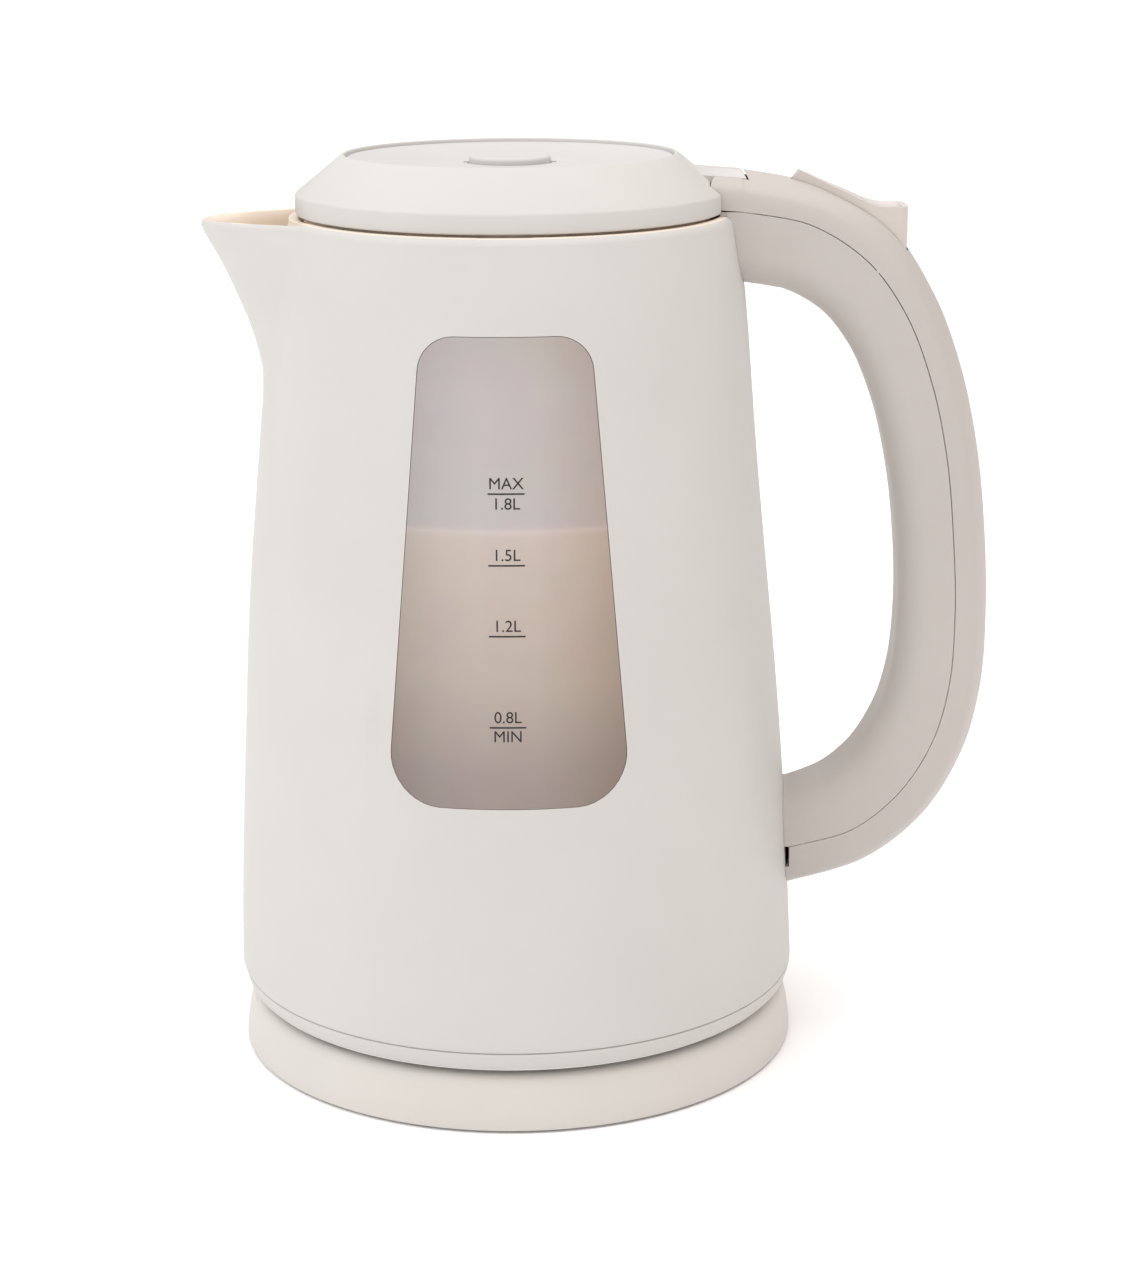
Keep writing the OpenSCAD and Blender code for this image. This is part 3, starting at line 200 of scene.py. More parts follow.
def hermite(points, x):
    """Smooth curve through points of rising x, without overshoot."""
    px, py = np.array(points, float).T
    step = np.diff(px)
    slope = np.diff(py) / step
    tangent = np.zeros(len(px))
    for i in range(1, len(px) - 1):
        if slope[i - 1] * slope[i] > 0:
            tangent[i] = 2 / (1 / slope[i - 1] + 1 / slope[i])
    tangent[0], tangent[-1] = slope[0], slope[-1]
    x = np.clip(x, px[0], px[-1])
    k = np.clip(np.searchsorted(px, x) - 1, 0, len(step) - 1)
    t = (x - px[k]) / step[k]
    return ((1 + 2 * t) * (1 - t) ** 2 * py[k] + t * (1 - t) ** 2 * step[k] * tangent[k]
            + t * t * (3 - 2 * t) * py[k + 1] + t * t * (t - 1) * step[k] * tangent[k + 1])


def skin_r(z):
    """Outer radius of the jug at a height."""
    return np.polyval(skin_fit, (np.clip(z, seam_z, rim_z) - skin_middle_z) / skin_half_h)


def lobe_r(angle, z, inset=0.0):
    """Radius of the spout's rounded nose at an angle from -X, less an inset."""
    nose = hermite(keel_line, z) - inset
    bend = nose_bend + nose_bend_more * np.clip((nose_bend_z - z) / nose_bend_run, 0, 1) ** 0.8 - inset
    a = np.maximum(np.sin(angle) ** 2 / bend, 1e-9)
    c = np.cos(angle)
    return np.where(c > 0.5, (-c + np.sqrt(c * c + 2 * nose * a)) / a, 0)


def outer_r(theta, z):
    """Radius of the jug's skin with its spout, theta from +X."""
    angle = np.arctan2(np.sin(theta - np.pi), np.cos(theta - np.pi))
    body, lobe = skin_r(z), lobe_r(angle, z)
    h = np.maximum(spout_blend - abs(body - lobe), 0) / spout_blend
    return np.maximum(body, lobe) + h * h * spout_blend / 4


def shade(obj, sharp=38):
    """Smooth shading, broken where faces meet at more than that many degrees."""
    obj.data.shade_smooth()
    obj.data.set_sharp_from_angle(angle=math.radians(sharp))


def piece(name, points, faces, finish, sharp=38):
    """A mesh piece from points in millimetres, shaded smooth but for its sharp edges."""
    mesh = bpy.data.meshes.new(name)
    mesh.from_pydata((np.array(points, float) * MM).tolist(), [], faces)
    obj = bpy.data.objects.new(name, mesh)
    bpy.context.scene.collection.objects.link(obj)
    build = bmesh.new()
    build.from_mesh(mesh)
    bmesh.ops.recalc_face_normals(build, faces=build.faces)
    build.to_mesh(mesh)
    build.free()
    if finish:
        mesh.materials.append(finish)
    shade(obj, sharp)
    return obj


def grid_faces(rows, columns, close_rows=False):
    """Quads of a grid whose columns close in a ring."""
    last = rows if close_rows else rows - 1
    return [(i * columns + j, i * columns + (j + 1) % columns,
             (i + 1) % rows * columns + (j + 1) % columns, (i + 1) % rows * columns + j)
            for i in range(last) for j in range(columns)]


def tube_faces(rows, columns):
    """Quads of a grid whose columns close in a ring, with a face over each end."""
    return grid_faces(rows, columns) + [tuple(range(columns))[::-1],
                                        tuple(range((rows - 1) * columns, rows * columns))]


def lathe(name, profile, finish, steps=240, sharp=38):
    """A closed profile of (radius, height) turned about Z."""
    turn = np.linspace(0, 2 * np.pi, steps, endpoint=False)
    points = [(r * math.cos(t), r * math.sin(t), z) for r, z in profile for t in turn]
    return piece(name, points, grid_faces(len(profile), steps, True), finish, sharp)


def bow(cx, cz, r, a0, a1, n=6):
    """Points of an arc in the (radius, height) plane, between two angles in degrees."""
    angles = [math.radians(a0 + (a1 - a0) * i / n) for i in range(n + 1)]
    return [(cx + r * math.cos(a), cz + r * math.sin(a)) for a in angles]


def block(low, high):
    """A plain box, for cutting or joining."""
    x, y, z = zip(low, high)
    points = [(a, b, c) for a in x for b in y for c in z]
    sides = [(0, 1, 3, 2), (4, 6, 7, 5), (0, 4, 5, 1), (2, 3, 7, 6), (0, 2, 6, 4), (1, 5, 7, 3)]
    return piece("cutter", points, sides, None)


def drum(centre, axis, r, length, sides=48):
    """A plain cylinder from a centre along an axis, for cutting or joining."""
    turn = Vector((0, 0, 1)).rotation_difference(Vector(axis)).to_matrix()
    angles = [2 * math.pi * i / sides for i in range(sides)]
    ring = [(r * math.cos(a), r * math.sin(a)) for a in angles]
    points = [Vector(centre) + turn @ Vector((x, y, z)) for z in (0, length) for x, y in ring]
    return piece("cutter", [tuple(p) for p in points], tube_faces(2, sides), None)


def prism(outline, y0, y1):
    """An outline in (x, z) carried from one y to another."""
    points = [(x, y, z) for y in (y0, y1) for x, z in outline]
    return piece("cutter", points, tube_faces(2, len(outline)), None)


def bake(obj):
    """The object's modifiers become its mesh."""
    bpy.context.view_layer.update()
    mesh = bpy.data.meshes.new_from_object(obj.evaluated_get(bpy.context.evaluated_depsgraph_get()))
    if not mesh.vertices:
        raise ValueError(f"{obj.name} came to nothing")
    obj.modifiers.clear()
    obj.data = mesh


def carve(obj, tools, how="DIFFERENCE", sharp=38):
    """Cuts, joins or keeps the common part with each tool, and removes the tools."""
    for tool in tools:
        if not any(tool.data.materials):
            tool.data.materials.clear()
            for finish in obj.data.materials[:1]:
                tool.data.materials.append(finish)
        step = obj.modifiers.new("step", "BOOLEAN")
        step.operation = how
        step.solver = "MANIFOLD"
        step.object = tool
        bake(obj)
        bpy.data.objects.remove(tool)
    shade(obj, sharp)
    return obj


def channel(inset, back, w0, w1, flare=0.0):
    """The spout's inside between two shares of its depth, closed by an arc inside the jug's wall."""
    reach, tries, front_steps, back_steps = 1.1, 1200, 33, 17
    levels = []
    for w in np.linspace(w0, w1, 28):
        z = spout_top_z - spout_drop + spout_drop * w
        keel_z = min(z, spout_top_z)
        skin = skin_r(keel_z)
        deep = inset - flare * max(0, (z - lip_z) / lip_h) ** 2
        angle = np.linspace(-reach, reach, tries)
        meets = angle[lobe_r(angle, keel_z, deep) > skin - back]
        edge = min(abs(meets[0]), abs(meets[-1]))
        a = np.linspace(-edge, edge, front_steps)
        r = lobe_r(a, keel_z, deep)
        front = [(-r[i] * math.cos(a[i]), -r[i] * math.sin(a[i]), z) for i in range(front_steps)]
        b = np.linspace(edge, -edge, back_steps)[1:-1]
        levels.append(front + [(-(skin - back) * math.cos(t), -(skin - back) * math.sin(t), z) for t in b])
    faces = tube_faces(len(levels), len(levels[0]))
    return piece("cutter", [p for level in levels for p in level], faces, None)


window_low, window_high = 94.0, 220.0
window_half_low, window_half_high = 32.5, 23.2
window_round_low, window_round_high, window_sag, window_sag_h = 13, 10, 1.1, 6


def window_outline(margin):
    """The gauge window's outline, wider below than above, widened by a margin."""
    low, high = window_low - margin, window_high + margin
    half_low, half_high = window_half_low + margin, window_half_high + margin
    low_round, high_round = window_round_low + margin, window_round_high + margin
    lean = math.degrees(math.atan2(half_low - half_high, high - low))
    tuck = math.tan(math.radians(lean)) * 0.4
    half = (bow(half_low - low_round * (1 + tuck), low + low_round, low_round, -90, lean, 10)
            + bow(half_high - high_round * (1 - tuck), high - high_round, high_round, lean, 90, 10))
    out = half + [(-x, z) for x, z in half[::-1]]
    return [(x, z - window_sag * (1 - (x / half_low) ** 2) if z < low + window_sag_h else z) for x, z in out]


# Satin-moulded polypropylene: an even warm white with a broad soft sheen and a barely visible grain
cream = mottled("moulded_cream_polypropylene", "#c4c2be", "#c7c5c1", 35, (0.46, 0.56), 0.25,
                Specular_IOR_Level=0.35)
# The same plastic in a warmer tan, painted warm shade for the insides of the rim, the lid and the handle and
# the gaps round them
tan = mottled("tan_polypropylene_painted_warm_shade", "#e6d9cb", "#eadecf", 35, (0.5, 0.6), 0.2,
              Specular_IOR_Level=0.35)

# The columns stand closer together round the spout, between 138 and 222 degrees
turns = np.radians(np.concatenate([np.arange(0, 138, 1.5), np.arange(138, 222, 0.6),
                                   np.arange(222, 360, 1.5)]))
rows = [(outer_r(turns, seam_z) - 0.34, seam_z), (outer_r(turns, seam_z) - 0.1, seam_z + 0.1)]
for z in np.concatenate([[seam_z + 0.4], np.linspace(seam_z + 2.4, 190, 69),
                         np.linspace(191.5, rim_z - rim_round, 40)]):
    rows.append((outer_r(turns, z), z))
top_skin = outer_r(turns, rim_z - rim_round)
for r, z in bow(0, 0, rim_round, 10, 90, 7):
    rows.append((top_skin - rim_round + r, rim_z - rim_round + z))
inner = bow(mouth_r + mouth_round, rim_z - mouth_round, mouth_round, 90, 180, 5)
inner += [(mouth_r, ledge_z), (ledge_r, ledge_z), (ledge_r, ledge_z - 3)]
inner += [(skin_r(z) - wall, z) for z in np.linspace(ledge_z - 8.5, shoulder_z + 6, 40)]
inner += [(skin_r(shoulder_z + 5) - wall, shoulder_z + 5)]
inner += [(plate_r - 3, shoulder_z + 3), (plate_r - 3, shoulder_z)]
inner += [(skin_r(z) - wall, z) for z in np.linspace(shoulder_z, seam_z, 12)]
rows += [(np.full(len(turns), r), z) for r, z in inner]
# Beside the spout the rim stands a little higher than at the spout's tip
rim_lift, lift_from_z = 0.16, 240
lift = rim_lift * (1 - np.clip((top_skin - skin_r(rim_z)) / spout_out, 0, 1) ** 0.6)
points = [(r[j] * math.cos(t), r[j] * math.sin(t), z + lift[j] * max(0, z - lift_from_z))
          for r, z in rows for j, t in enumerate(turns)]
jug = piece("jug_moulding", points, grid_faces(len(rows), len(turns), True), cream)

pocket_half, pocket_in, pocket_out, pocket_z = 7.2, 58, 60.65, 240.85
notch_in, notch_out, notch_h, ear_gap = 54, 68, 1.6, 0.06
steam_from, steam_r, steam_length = (45, 0, 232), 3, 30
carve(jug, [channel(2.3, 0.9, 0.22, 1.03, 1.0),
            channel(3.8, wall + 2, 0.33, 0.68),
            prism(window_outline(0), -100, 0),
            block((-pocket_half, pocket_in, pocket_z), (pocket_half, pocket_out, rim_z + 1.5)),
            block((-pocket_half, -pocket_out, pocket_z), (pocket_half, -pocket_in, rim_z + 1.5)),
            block((notch_in, -ear_end - ear_gap, rim_z - notch_h), (notch_out, ear_end + ear_gap, rim_z + 1)),
            drum(steam_from, (1, 0, 0), steam_r, steam_length)])
# Faces more than about 1.5 mm inside the outer skin, down to the lower edge, take the tan as painted warm
# shade
jug.data.materials.append(tan)
middles = np.empty(3 * len(jug.data.polygons))
jug.data.polygons.foreach_get("center", middles)
x, y, z = middles.reshape(-1, 3).T / MM
skin = outer_r(np.arctan2(y, x), np.minimum(z, rim_z - rim_round))
warm_shade_faces = skin - np.hypot(x, y) > 1.5 - 0.4 * np.clip((skin - skin_r(rim_z)) / spout_out, 0, 1)
jug.data.polygons.foreach_set("material_index", (warm_shade_faces & (z > seam_z + 0.5)).astype(int))
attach(jug, "jug")
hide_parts("body_shell")


# ---- Gauge window ----
# The water gauge, a frosted clear copolyester panel moulded to the jug's curve and welded into its opening.
# The water behind it shows as a warmer and darker lower part, with a pale line where its surface meets it.
water_z = 168.7
window_gap = 0.16
# The etched frost, drawn coarser than it is so that it shows
frost_grain, frost_depth = 1000 / 2200, 0.04
frosted, tree, shader, coords = material("frosted_copolyester_gauge")
split = add_node(tree, "ShaderNodeSeparateXYZ", {0: coords})


def ramp_of(value, low, high, stops):
    """The gauge's colours over a range of one coordinate, in millimetres."""
    spread = add_node(tree, "ShaderNodeMapRange", {"Value": value, "From Min": low * MM,
                                                   "From Max": high * MM})
    marks = [((at - low) / (high - low), linear(code)) for at, code in stops]
    return add_node(tree, "ShaderNodeValToRGB", {"Fac": spread.outputs["Result"]}, marks).outputs["Color"]


# Frosted plastic: a milky tint without a clear view in, darker to the foot, with painted shade to both sides
upright = ramp_of(split.outputs["Z"], 90, 224, [
    (92, "#8b817d"), (104, "#938883"), (128, "#a99e95"), (160, "#b5aaa1"), (water_z - 1.6, "#b8ada5"),
    (water_z - 0.2, "#bfb5b0"), (water_z + 0.9, "#b3acaa"), (water_z + 2.2, "#b0aba9"), (205, "#afa9a8"),
    (222, "#a9a29f")])
painted_side_shade = ramp_of(split.outputs["X"], -34, 34, [
    (-34, "#cdc2bb"), (-29, "#e1dedd"), (-18, "#f5f4f5"), (-8, "#ffffff"), (8, "#fffdfb"), (20, "#f2ebe5"),
    (29, "#e2d8ce"), (34, "#d6ccc2")])
shaded = add_node(tree, "ShaderNodeMix", {"Factor": 1, "A": upright, "B": painted_side_shade}, data_type="RGBA",
                  blend_type="MULTIPLY")
haze = add_node(tree, "ShaderNodeTexNoise", {"Vector": coords, "Scale": 90})
clouded = {"Factor": 0.08, "A": shaded.outputs["Result"], "B": haze.outputs["Color"]}
cloud = add_node(tree, "ShaderNodeMix", clouded, data_type="RGBA", blend_type="SOFT_LIGHT")
tree.links.new(cloud.outputs["Result"], shader.inputs["Base Color"])
emboss(tree, shader, coords, frost_grain, 0.2, frost_depth)
shader.inputs["Roughness"].default_value = 0.42

front = np.radians(np.arange(-122, -57.9, 0.5))
levels = np.linspace(88, 226, 100)
outline = [(t, 0.0) for t in front] + [(t, wall) for t in front[::-1]]
points = []
for z in levels:
    for t, depth in outline:
        r = skin_r(z) - depth
        points.append((r * math.cos(t), r * math.sin(t), z))
window = piece("gauge_panel", points, tube_faces(len(levels), len(outline)), frosted)
carve(window, [prism(window_outline(-window_gap), -100, 0)], "INTERSECT")
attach(window, "jug")
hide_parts("gauge_window")


# ---- Gauge marks ----
# Litre marks and their lines, pad-printed on the gauge's outer face in black ink. Each is a thin raised film
# that follows the panel's curve.
letter_h, cap_share = 3.2, 0.729
ink_lift = 0.02
line_w, line_h, line_t = 9.8, 0.4, 0.04
# Dried ink: almost black, with an even dull sheen
ink = mottled("pad_printed_black_ink", "#141312", "#1c1a18", 4, (0.45, 0.6))


def wrap_on_skin(obj):
    """Lays a flat mesh drawn in (x, z) on the window's curved face."""
    for v in obj.data.vertices:
        x, z = v.co.x / MM, v.co.z / MM
        v.co.y = -(math.sqrt(skin_r(z) ** 2 - x * x) + ink_lift + (v.co.y / MM)) * MM


def lettering(name, text, middle_z):
    """One line of lettering centred on the window."""
    curve = bpy.data.curves.new(name, "FONT")
    curve.body = text
    curve.size = letter_h * MM / cap_share
    curve.align_x = "CENTER"
    curve.align_y = "CENTER"
    curve.extrude = line_t * MM / 2
    obj = bpy.data.objects.new(name, curve)
    bpy.context.scene.collection.objects.link(obj)
    bpy.context.view_layer.update()
    mesh = bpy.data.meshes.new_from_object(obj.evaluated_get(bpy.context.evaluated_depsgraph_get()))
    bpy.data.objects.remove(obj)
    build = bmesh.new()
    build.from_mesh(mesh)
    bmesh.ops.remove_doubles(build, verts=build.verts, dist=1e-6)
    build.to_mesh(mesh)
    build.free()
    out = bpy.data.objects.new(name, mesh)
    bpy.context.scene.collection.objects.link(out)
    for v in mesh.vertices:
        v.co = Vector((v.co.x, v.co.z, v.co.y + middle_z * MM))
    wrap_on_skin(out)
    mesh.flip_normals()
    mesh.materials.clear()
    mesh.materials.append(ink)
    return out


for name, text, z in (("mark_max", "MAX", 181.3), ("mark_1.8", "1.8L", 175.9), ("mark_1.5", "1.5L", 162.2),
                      ("mark_1.2", "1.2L", 143.2), ("mark_0.8", "0.8L", 118.5), ("mark_min", "MIN", 113.3)):
    mark = lettering(name, text, z)
    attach(mark, "jug")

for name, z in (("line_1.8", 178.7), ("line_1.5", 159.6), ("line_1.2", 140.6), ("line_0.8", 115.9)):
    xs = np.linspace(-line_w / 2, line_w / 2, 15)
    points = [(x, y, z + h) for y in (0.0, line_t) for h in (-line_h / 2, line_h / 2) for x in xs]
    k = len(xs)
    ring = list(range(k)) + list(range(2 * k - 1, k - 1, -1))
    faces = [tuple(ring[::-1]), tuple(2 * k + i for i in ring)]
    faces += [(a, b, 2 * k + b, 2 * k + a) for a, b in zip(ring, ring[1:] + ring[:1])]
    mark = piece(name, points, faces, ink)
    wrap_on_skin(mark)
    mark.data.flip_normals()
    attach(mark, "jug")


# ---- Bottom cover ----
# The cover that closes the jug's foot, moulded in the same cream polypropylene and held by four screws.
# From outside only a thin rounded band of it shows below the seam; its floor has a ring-shaped foot, a hole
# for the connector, a ring of vents and the bosses and holes of the screws.
socket_r = 19.5
foot_r = 66.0
foot_z, floor_z, floor_top_z = 16.2, 18.1, 20.3
cover_screw_r = 73.2
boss_r = 3.75
head_r, screw_r, screw_gap = 2.9, 1.45, 0.3
seam_gap = 0.12
vent_half, vent_round = 4, 1
screw_count, vent_count = 4, 12


def slab(outline, low, high):
    """An outline in (x, y) carried from one height to another."""
    points = [(x, y, z) for z in (low, high) for x, y in outline]
    return piece("cutter", points, tube_faces(2, len(outline)), None)


def ring_tree():
    """A Geometry Nodes tree that sets copies of a piece round the Z axis, each turned to face outwards."""
    tree = bpy.data.node_groups.new("ring_of_copies", "GeometryNodeTree")
    tree.is_modifier = True
    for name, kind in (("Piece", "Object"), ("Count", "Int"), ("Radius", "Float"), ("First Turn", "Float"),
                       ("Finish", "Material")):
        tree.interface.new_socket(name=name, in_out="INPUT", socket_type="NodeSocket" + kind)
    tree.interface.new_socket(name="Geometry", in_out="OUTPUT", socket_type="NodeSocketGeometry")
    given = add_node(tree, "NodeGroupInput").outputs
    index = add_node(tree, "GeometryNodeInputIndex").outputs[0]
    step = add_node(tree, "ShaderNodeMath", {0: 2 * math.pi, 1: given["Count"]},
                    operation="DIVIDE").outputs[0]
    angle = add_node(tree, "ShaderNodeMath", {0: index, 1: step, 2: given["First Turn"]},
                     operation="MULTIPLY_ADD").outputs[0]
    out = add_node(tree, "ShaderNodeCombineXYZ", {"X": given["Radius"]}).outputs[0]
    around = add_node(tree, "ShaderNodeVectorRotate", rotation_type="Z_AXIS")
    tree.links.new(out, around.inputs["Vector"])
    tree.links.new(angle, around.inputs["Angle"])
    place = add_node(tree, "GeometryNodePoints", {"Count": given["Count"], "Position": around.outputs[0]})
    spin = add_node(tree, "ShaderNodeCombineXYZ", {"Z": angle})
    source = add_node(tree, "GeometryNodeObjectInfo", {"Object": given["Piece"]})
    copies = add_node(tree, "GeometryNodeInstanceOnPoints", {"Points": place.outputs[0],
                                                             "Instance": source.outputs["Geometry"],
                                                             "Rotation": spin.outputs[0]})
    real = add_node(tree, "GeometryNodeRealizeInstances", {0: copies.outputs[0]})
    coat = add_node(tree, "GeometryNodeSetMaterial", {"Geometry": real.outputs[0],
                                                      "Material": given["Finish"]})
    add_node(tree, "NodeGroupOutput", {0: coat.outputs[0]})
    return tree


copies_round = ring_tree()


def ring_of(name, source, count, radius, first, finish):
    """Copies of a piece in millimetres round the Z axis as one plain mesh; the source goes."""
    obj = bpy.data.objects.new(name, bpy.data.meshes.new(name))
    bpy.context.scene.collection.objects.link(obj)
    step = obj.modifiers.new("copies", "NODES")
    step.node_group = copies_round
    given = {"Piece": source, "Count": count, "Radius": radius * MM, "First Turn": math.radians(first),
             "Finish": finish}
    for socket in copies_round.interface.items_tree:
        if socket.in_out == "INPUT":
            step[socket.identifier] = given[socket.name]
    bake(obj)
    bpy.data.objects.remove(source)
    shade(obj)
    return obj


band_top = skin_r(seam_z)
bottom_profile = [(socket_r + 0.1, floor_z), (foot_r - 4, floor_z)]
bottom_profile += [(foot_r - 4, foot_z + 0.4), (foot_r - 3.6, foot_z), (foot_r - 1.4, foot_z)]
bottom_profile += [(foot_r - 1, foot_z + 0.4), (foot_r - 1, floor_z), (band_top - 5.2, floor_z)]
bottom_profile += bow(band_top - 3.6, 19.5, 1.8, -90, -40, 4)
bottom_profile += [(band_top - 1.2, 19.4), (band_top - 0.75, 20.6)]
bottom_profile += [(band_top - 0.3, 22), (band_top - 0.08, 23.1)]
bottom_profile += bow(band_top - 0.4, 23.28, 0.32, 0, 80, 4)
bottom_profile += [(band_top - 0.6, seam_z - seam_gap), (band_top - 2.9, seam_z - seam_gap)]
bottom_profile += [(band_top - 2.9, 26.9), (band_top - 4.5, 26.9), (band_top - 4.5, 21.3)]
bottom_profile += [(band_top - 5.5, floor_top_z), (socket_r + 0.1, floor_top_z)]
bottom = lathe("bottom_cover_moulding", bottom_profile, cream)
vent_outline = [(side * vent_half + vent_round * math.cos(a), vent_round * math.sin(a))
                for side, start in ((1, -90), (-1, 90))
                for a in np.radians(np.linspace(start, start + 180, 9))]
boss_z = floor_z + 0.1
boss = drum((0, 0, boss_z), (0, 0, 1), boss_r, seam_z - 0.1 - boss_z, 40)
carve(bottom, [ring_of("bosses", boss, screw_count, cover_screw_r, 45, cream)], "UNION")
vent = slab(vent_outline, 16, 23)
head_hole = drum((0, 0, 16), (0, 0, 1), head_r + screw_gap, 3.5, 40)
screw_hole = drum((0, 0, 17), (0, 0, 1), screw_r + screw_gap, 12, 32)
carve(bottom, [ring_of("vents", vent, vent_count, (socket_r + foot_r) / 2, 15, cream),
               ring_of("head_holes", head_hole, screw_count, cover_screw_r, 45, cream),
               ring_of("screw_holes", screw_hole, screw_count, cover_screw_r, 45, cream)])
# A dull light brown on the cover's underside: painted shade that browns the gap under the jug
gap_shade_brown = mottled("brown_polypropylene_painted_gap_shade", "#b9a48d", "#c1ac95", 35, (0.5, 0.6), 0.2)
bottom.data.materials.append(gap_shade_brown)
for face in bottom.data.polygons:
    face.material_index = int(face.center.z / MM < floor_z + 0.5)
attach(bottom, "jug")
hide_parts("bottom_cover")


# ---- Bottom screws ----
# Cross-recessed zinc-plated steel screws, driven from below: four up into the jug and four up into the
# power base. The heads stand in their holes, with the recess facing down.
head_h, recess_long, recess_thin, recess_h = 1.2, 1.7, 0.3, 0.65
# Zinc plating on steel: a cool pale metal with slightly uneven shine
zinc = mottled("zinc_plated_steel", "#a9adb0", "#c3c6c8", 3, (0.25, 0.4), Metallic=1.0)


def screw(length):
    """One screw standing on its head, the head's cross recess facing down."""
    head = [(0.01, 0), (head_r - 0.8, 0.02), (head_r - 0.25, 0.2), (head_r, 0.55), (head_r, head_h)]
    shank = [(screw_r, head_h), (screw_r, length + 0.8)]
    tip = [(screw_r - 0.5, length + head_h), (0.01, length + head_h)]
    recess = [block((-recess_long, -recess_thin, -1), (recess_long, recess_thin, recess_h)),
              block((-recess_thin, -recess_long, -1), (recess_thin, recess_long, recess_h))]
    return carve(lathe("screw", head + shank + tip, zinc, 40), recess)


for name, body, length, radius, low in (("cover_screw_set", "jug", 8, cover_screw_r, 18.3),
                                        ("base_screw_set", "base", 7, 47.56, 1.0)):
    source = screw(length)
    source.data.transform(Matrix.Translation((0, 0, low * MM)))
    screws = ring_of(name, source, screw_count, radius, 45, zinc)
    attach(screws, body)
    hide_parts("bottom_screws" if body == "jug" else "base_screws")


# ---- Power base ----
# The upper moulding of the round base, in the same cream polypropylene: a softly rounded shoulder and a flat
# top with a round hole for the connector. It is screwed to the bottom plate, and the jug stands on it.
base_r, base_low_z, base_top_z = 82.0, 0.9, 16.0
connector_hole_r = 15.9
hidden_r = 74.6
# The same satin plastic as the jug, painted a touch lighter as painted light from the pale floor below
base_cream_painted_light = mottled("cream_polypropylene_painted_base_light", "#cbc7c1", "#cecac4", 35, (0.46, 0.56), 0.25,
                     Specular_IOR_Level=0.35)
base_profile = [(connector_hole_r, base_top_z), (60, base_top_z), (74.5, base_top_z - 0.1)]
base_profile += bow(76.5, 12.0, 3.9, 90, 12, 10)
base_profile += [(base_r - 0.7, 8.4), (base_r - 0.25, 5), (base_r, 2.2), (base_r, base_low_z)]
base_profile += [(base_r - 2.2, base_low_z), (base_r - 2.6, 5)]
base_profile += [(78, 12.6), (74, 13.8), (connector_hole_r, 13.8)]
base = lathe("base_top_moulding", base_profile, base_cream_painted_light)
# The flat top that the jug covers takes the tan as painted warm shade for the gap under the jug
base.data.materials.append(tan)
for face in base.data.polygons:
    hidden = face.center.z / MM > base_top_z - 0.1 and face.center.xy.length / MM < hidden_r
    face.material_index = int(hidden)
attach(base, "base")
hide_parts("base_top")


# ---- Lid ----
# A shallow cone with an upright band, moulded in cream polypropylene and cut away round its hinge, with a
# plug that reaches into the jug's mouth. Posts inside it take the screws of the inner cover. A rounded tab at
# its rear carries the knuckle that turns on the hinge pin.
lid_r, lid_z, lid_top_z = 60.6, 245.8, 262.0
plug_r, skirt_t, skirt_z = 58.3, 2.1, 241.0
dish_r, disc_z, disc_seat = 46.0, 257.6, 255.6
hinge_x, hinge_z, hinge_pin_r = 60.6, 252.4, 1.6
ear_r, ear_y = 4.6, 8.2
spring_r, spring_half = 3.0, 3.3
knuckle_r, lid_notch_half = 3.2, 14.3
shoulder = lid_z + 5.7
lid_profile = [(plug_r - 1.3, lid_z)]
lid_profile += bow(lid_r - 0.6, lid_z + 0.6, 0.6, -90, 0, 4) + bow(lid_r - 1.2, shoulder - 0.9, 1.2, 0, 38, 6)
lid_profile += [(dish_r + 3.2, lid_top_z - 1.6)] + bow(dish_r + 0.95, lid_top_z - 0.62, 0.6, 50, 175, 9)
lid_profile += [(dish_r + 0.15, 260.6), (dish_r + 0.1, disc_z), (dish_r - 3, disc_z)]
lid_profile += [(dish_r - 3, disc_seat), (dish_r + 5.8, disc_seat)]
lid_profile += [(plug_r - skirt_t, shoulder + 0.6), (plug_r - skirt_t, skirt_z), (plug_r, skirt_z)]
lid_profile += [(plug_r, lid_z - 1.9), (plug_r - 1.3, lid_z - 1.6)]
lid = lathe("lid_moulding", lid_profile, cream, 300)
past_lid_x = hinge_x + 10
carve(lid, [block((hinge_x - 3.8, -lid_notch_half, skirt_z - 1), (past_lid_x, lid_notch_half, hinge_z)),
            drum((hinge_x, -lid_notch_half, hinge_z), (0, 1, 0), ear_r + 0.5, 2 * lid_notch_half, 64),
            block((hinge_x, -lid_notch_half, skirt_z - 1), (past_lid_x, lid_notch_half, lid_top_z + 1))])
# The tab takes up the shape of the handle behind it: its half width, crown, top and chamfer along the seam
half_w, crown, handle_top_z, seam_edge = 14.0, 5.3, 257.2, 0.12


def between(a, b, c, d, t):
    """A point between b and c on a smooth curve through four points."""
    return ((-t + 2 * t * t - t ** 3) * a + (2 - 5 * t * t + 3 * t ** 3) * b
            + (t + 4 * t * t - 3 * t ** 3) * c + (-t * t + t ** 3) * d) / 2


def smooth_run(points, per=5):
    """A smooth curve through points, several steps between each two."""
    p = [np.array(points[0]) * 2 - np.array(points[1])] + [np.array(q, float) for q in points]
    p.append(p[-1] * 2 - p[-2])
    out = [tuple(between(a, b, c, d, t)) for a, b, c, d in zip(p, p[1:], p[2:], p[3:])
           for t in np.arange(per) / per]
    return out + [tuple(points[-1])]


def crown_line(seam, flat=0.0):
    """Half of the handle's outer side as (depth, width), from the seam to the middle, flatter where asked."""
    return smooth_run([(seam - 0.1 - seam_edge, half_w), (crown + 1.5, half_w - 0.35),
                       (crown - 0.9 - 0.5 * flat, half_w - 1.5), (2.35 - 2.4 * flat, half_w - 5 + 0.4 * flat),
                       (0.55 - 1.4 * flat, half_w - 9.5), (-0.9 * flat, 1.2)], 6)


def both_sides(half):
    """Half a section of (depth, width) with its mirror image."""
    return half + [(depth, -width) for depth, width in half[::-1]]


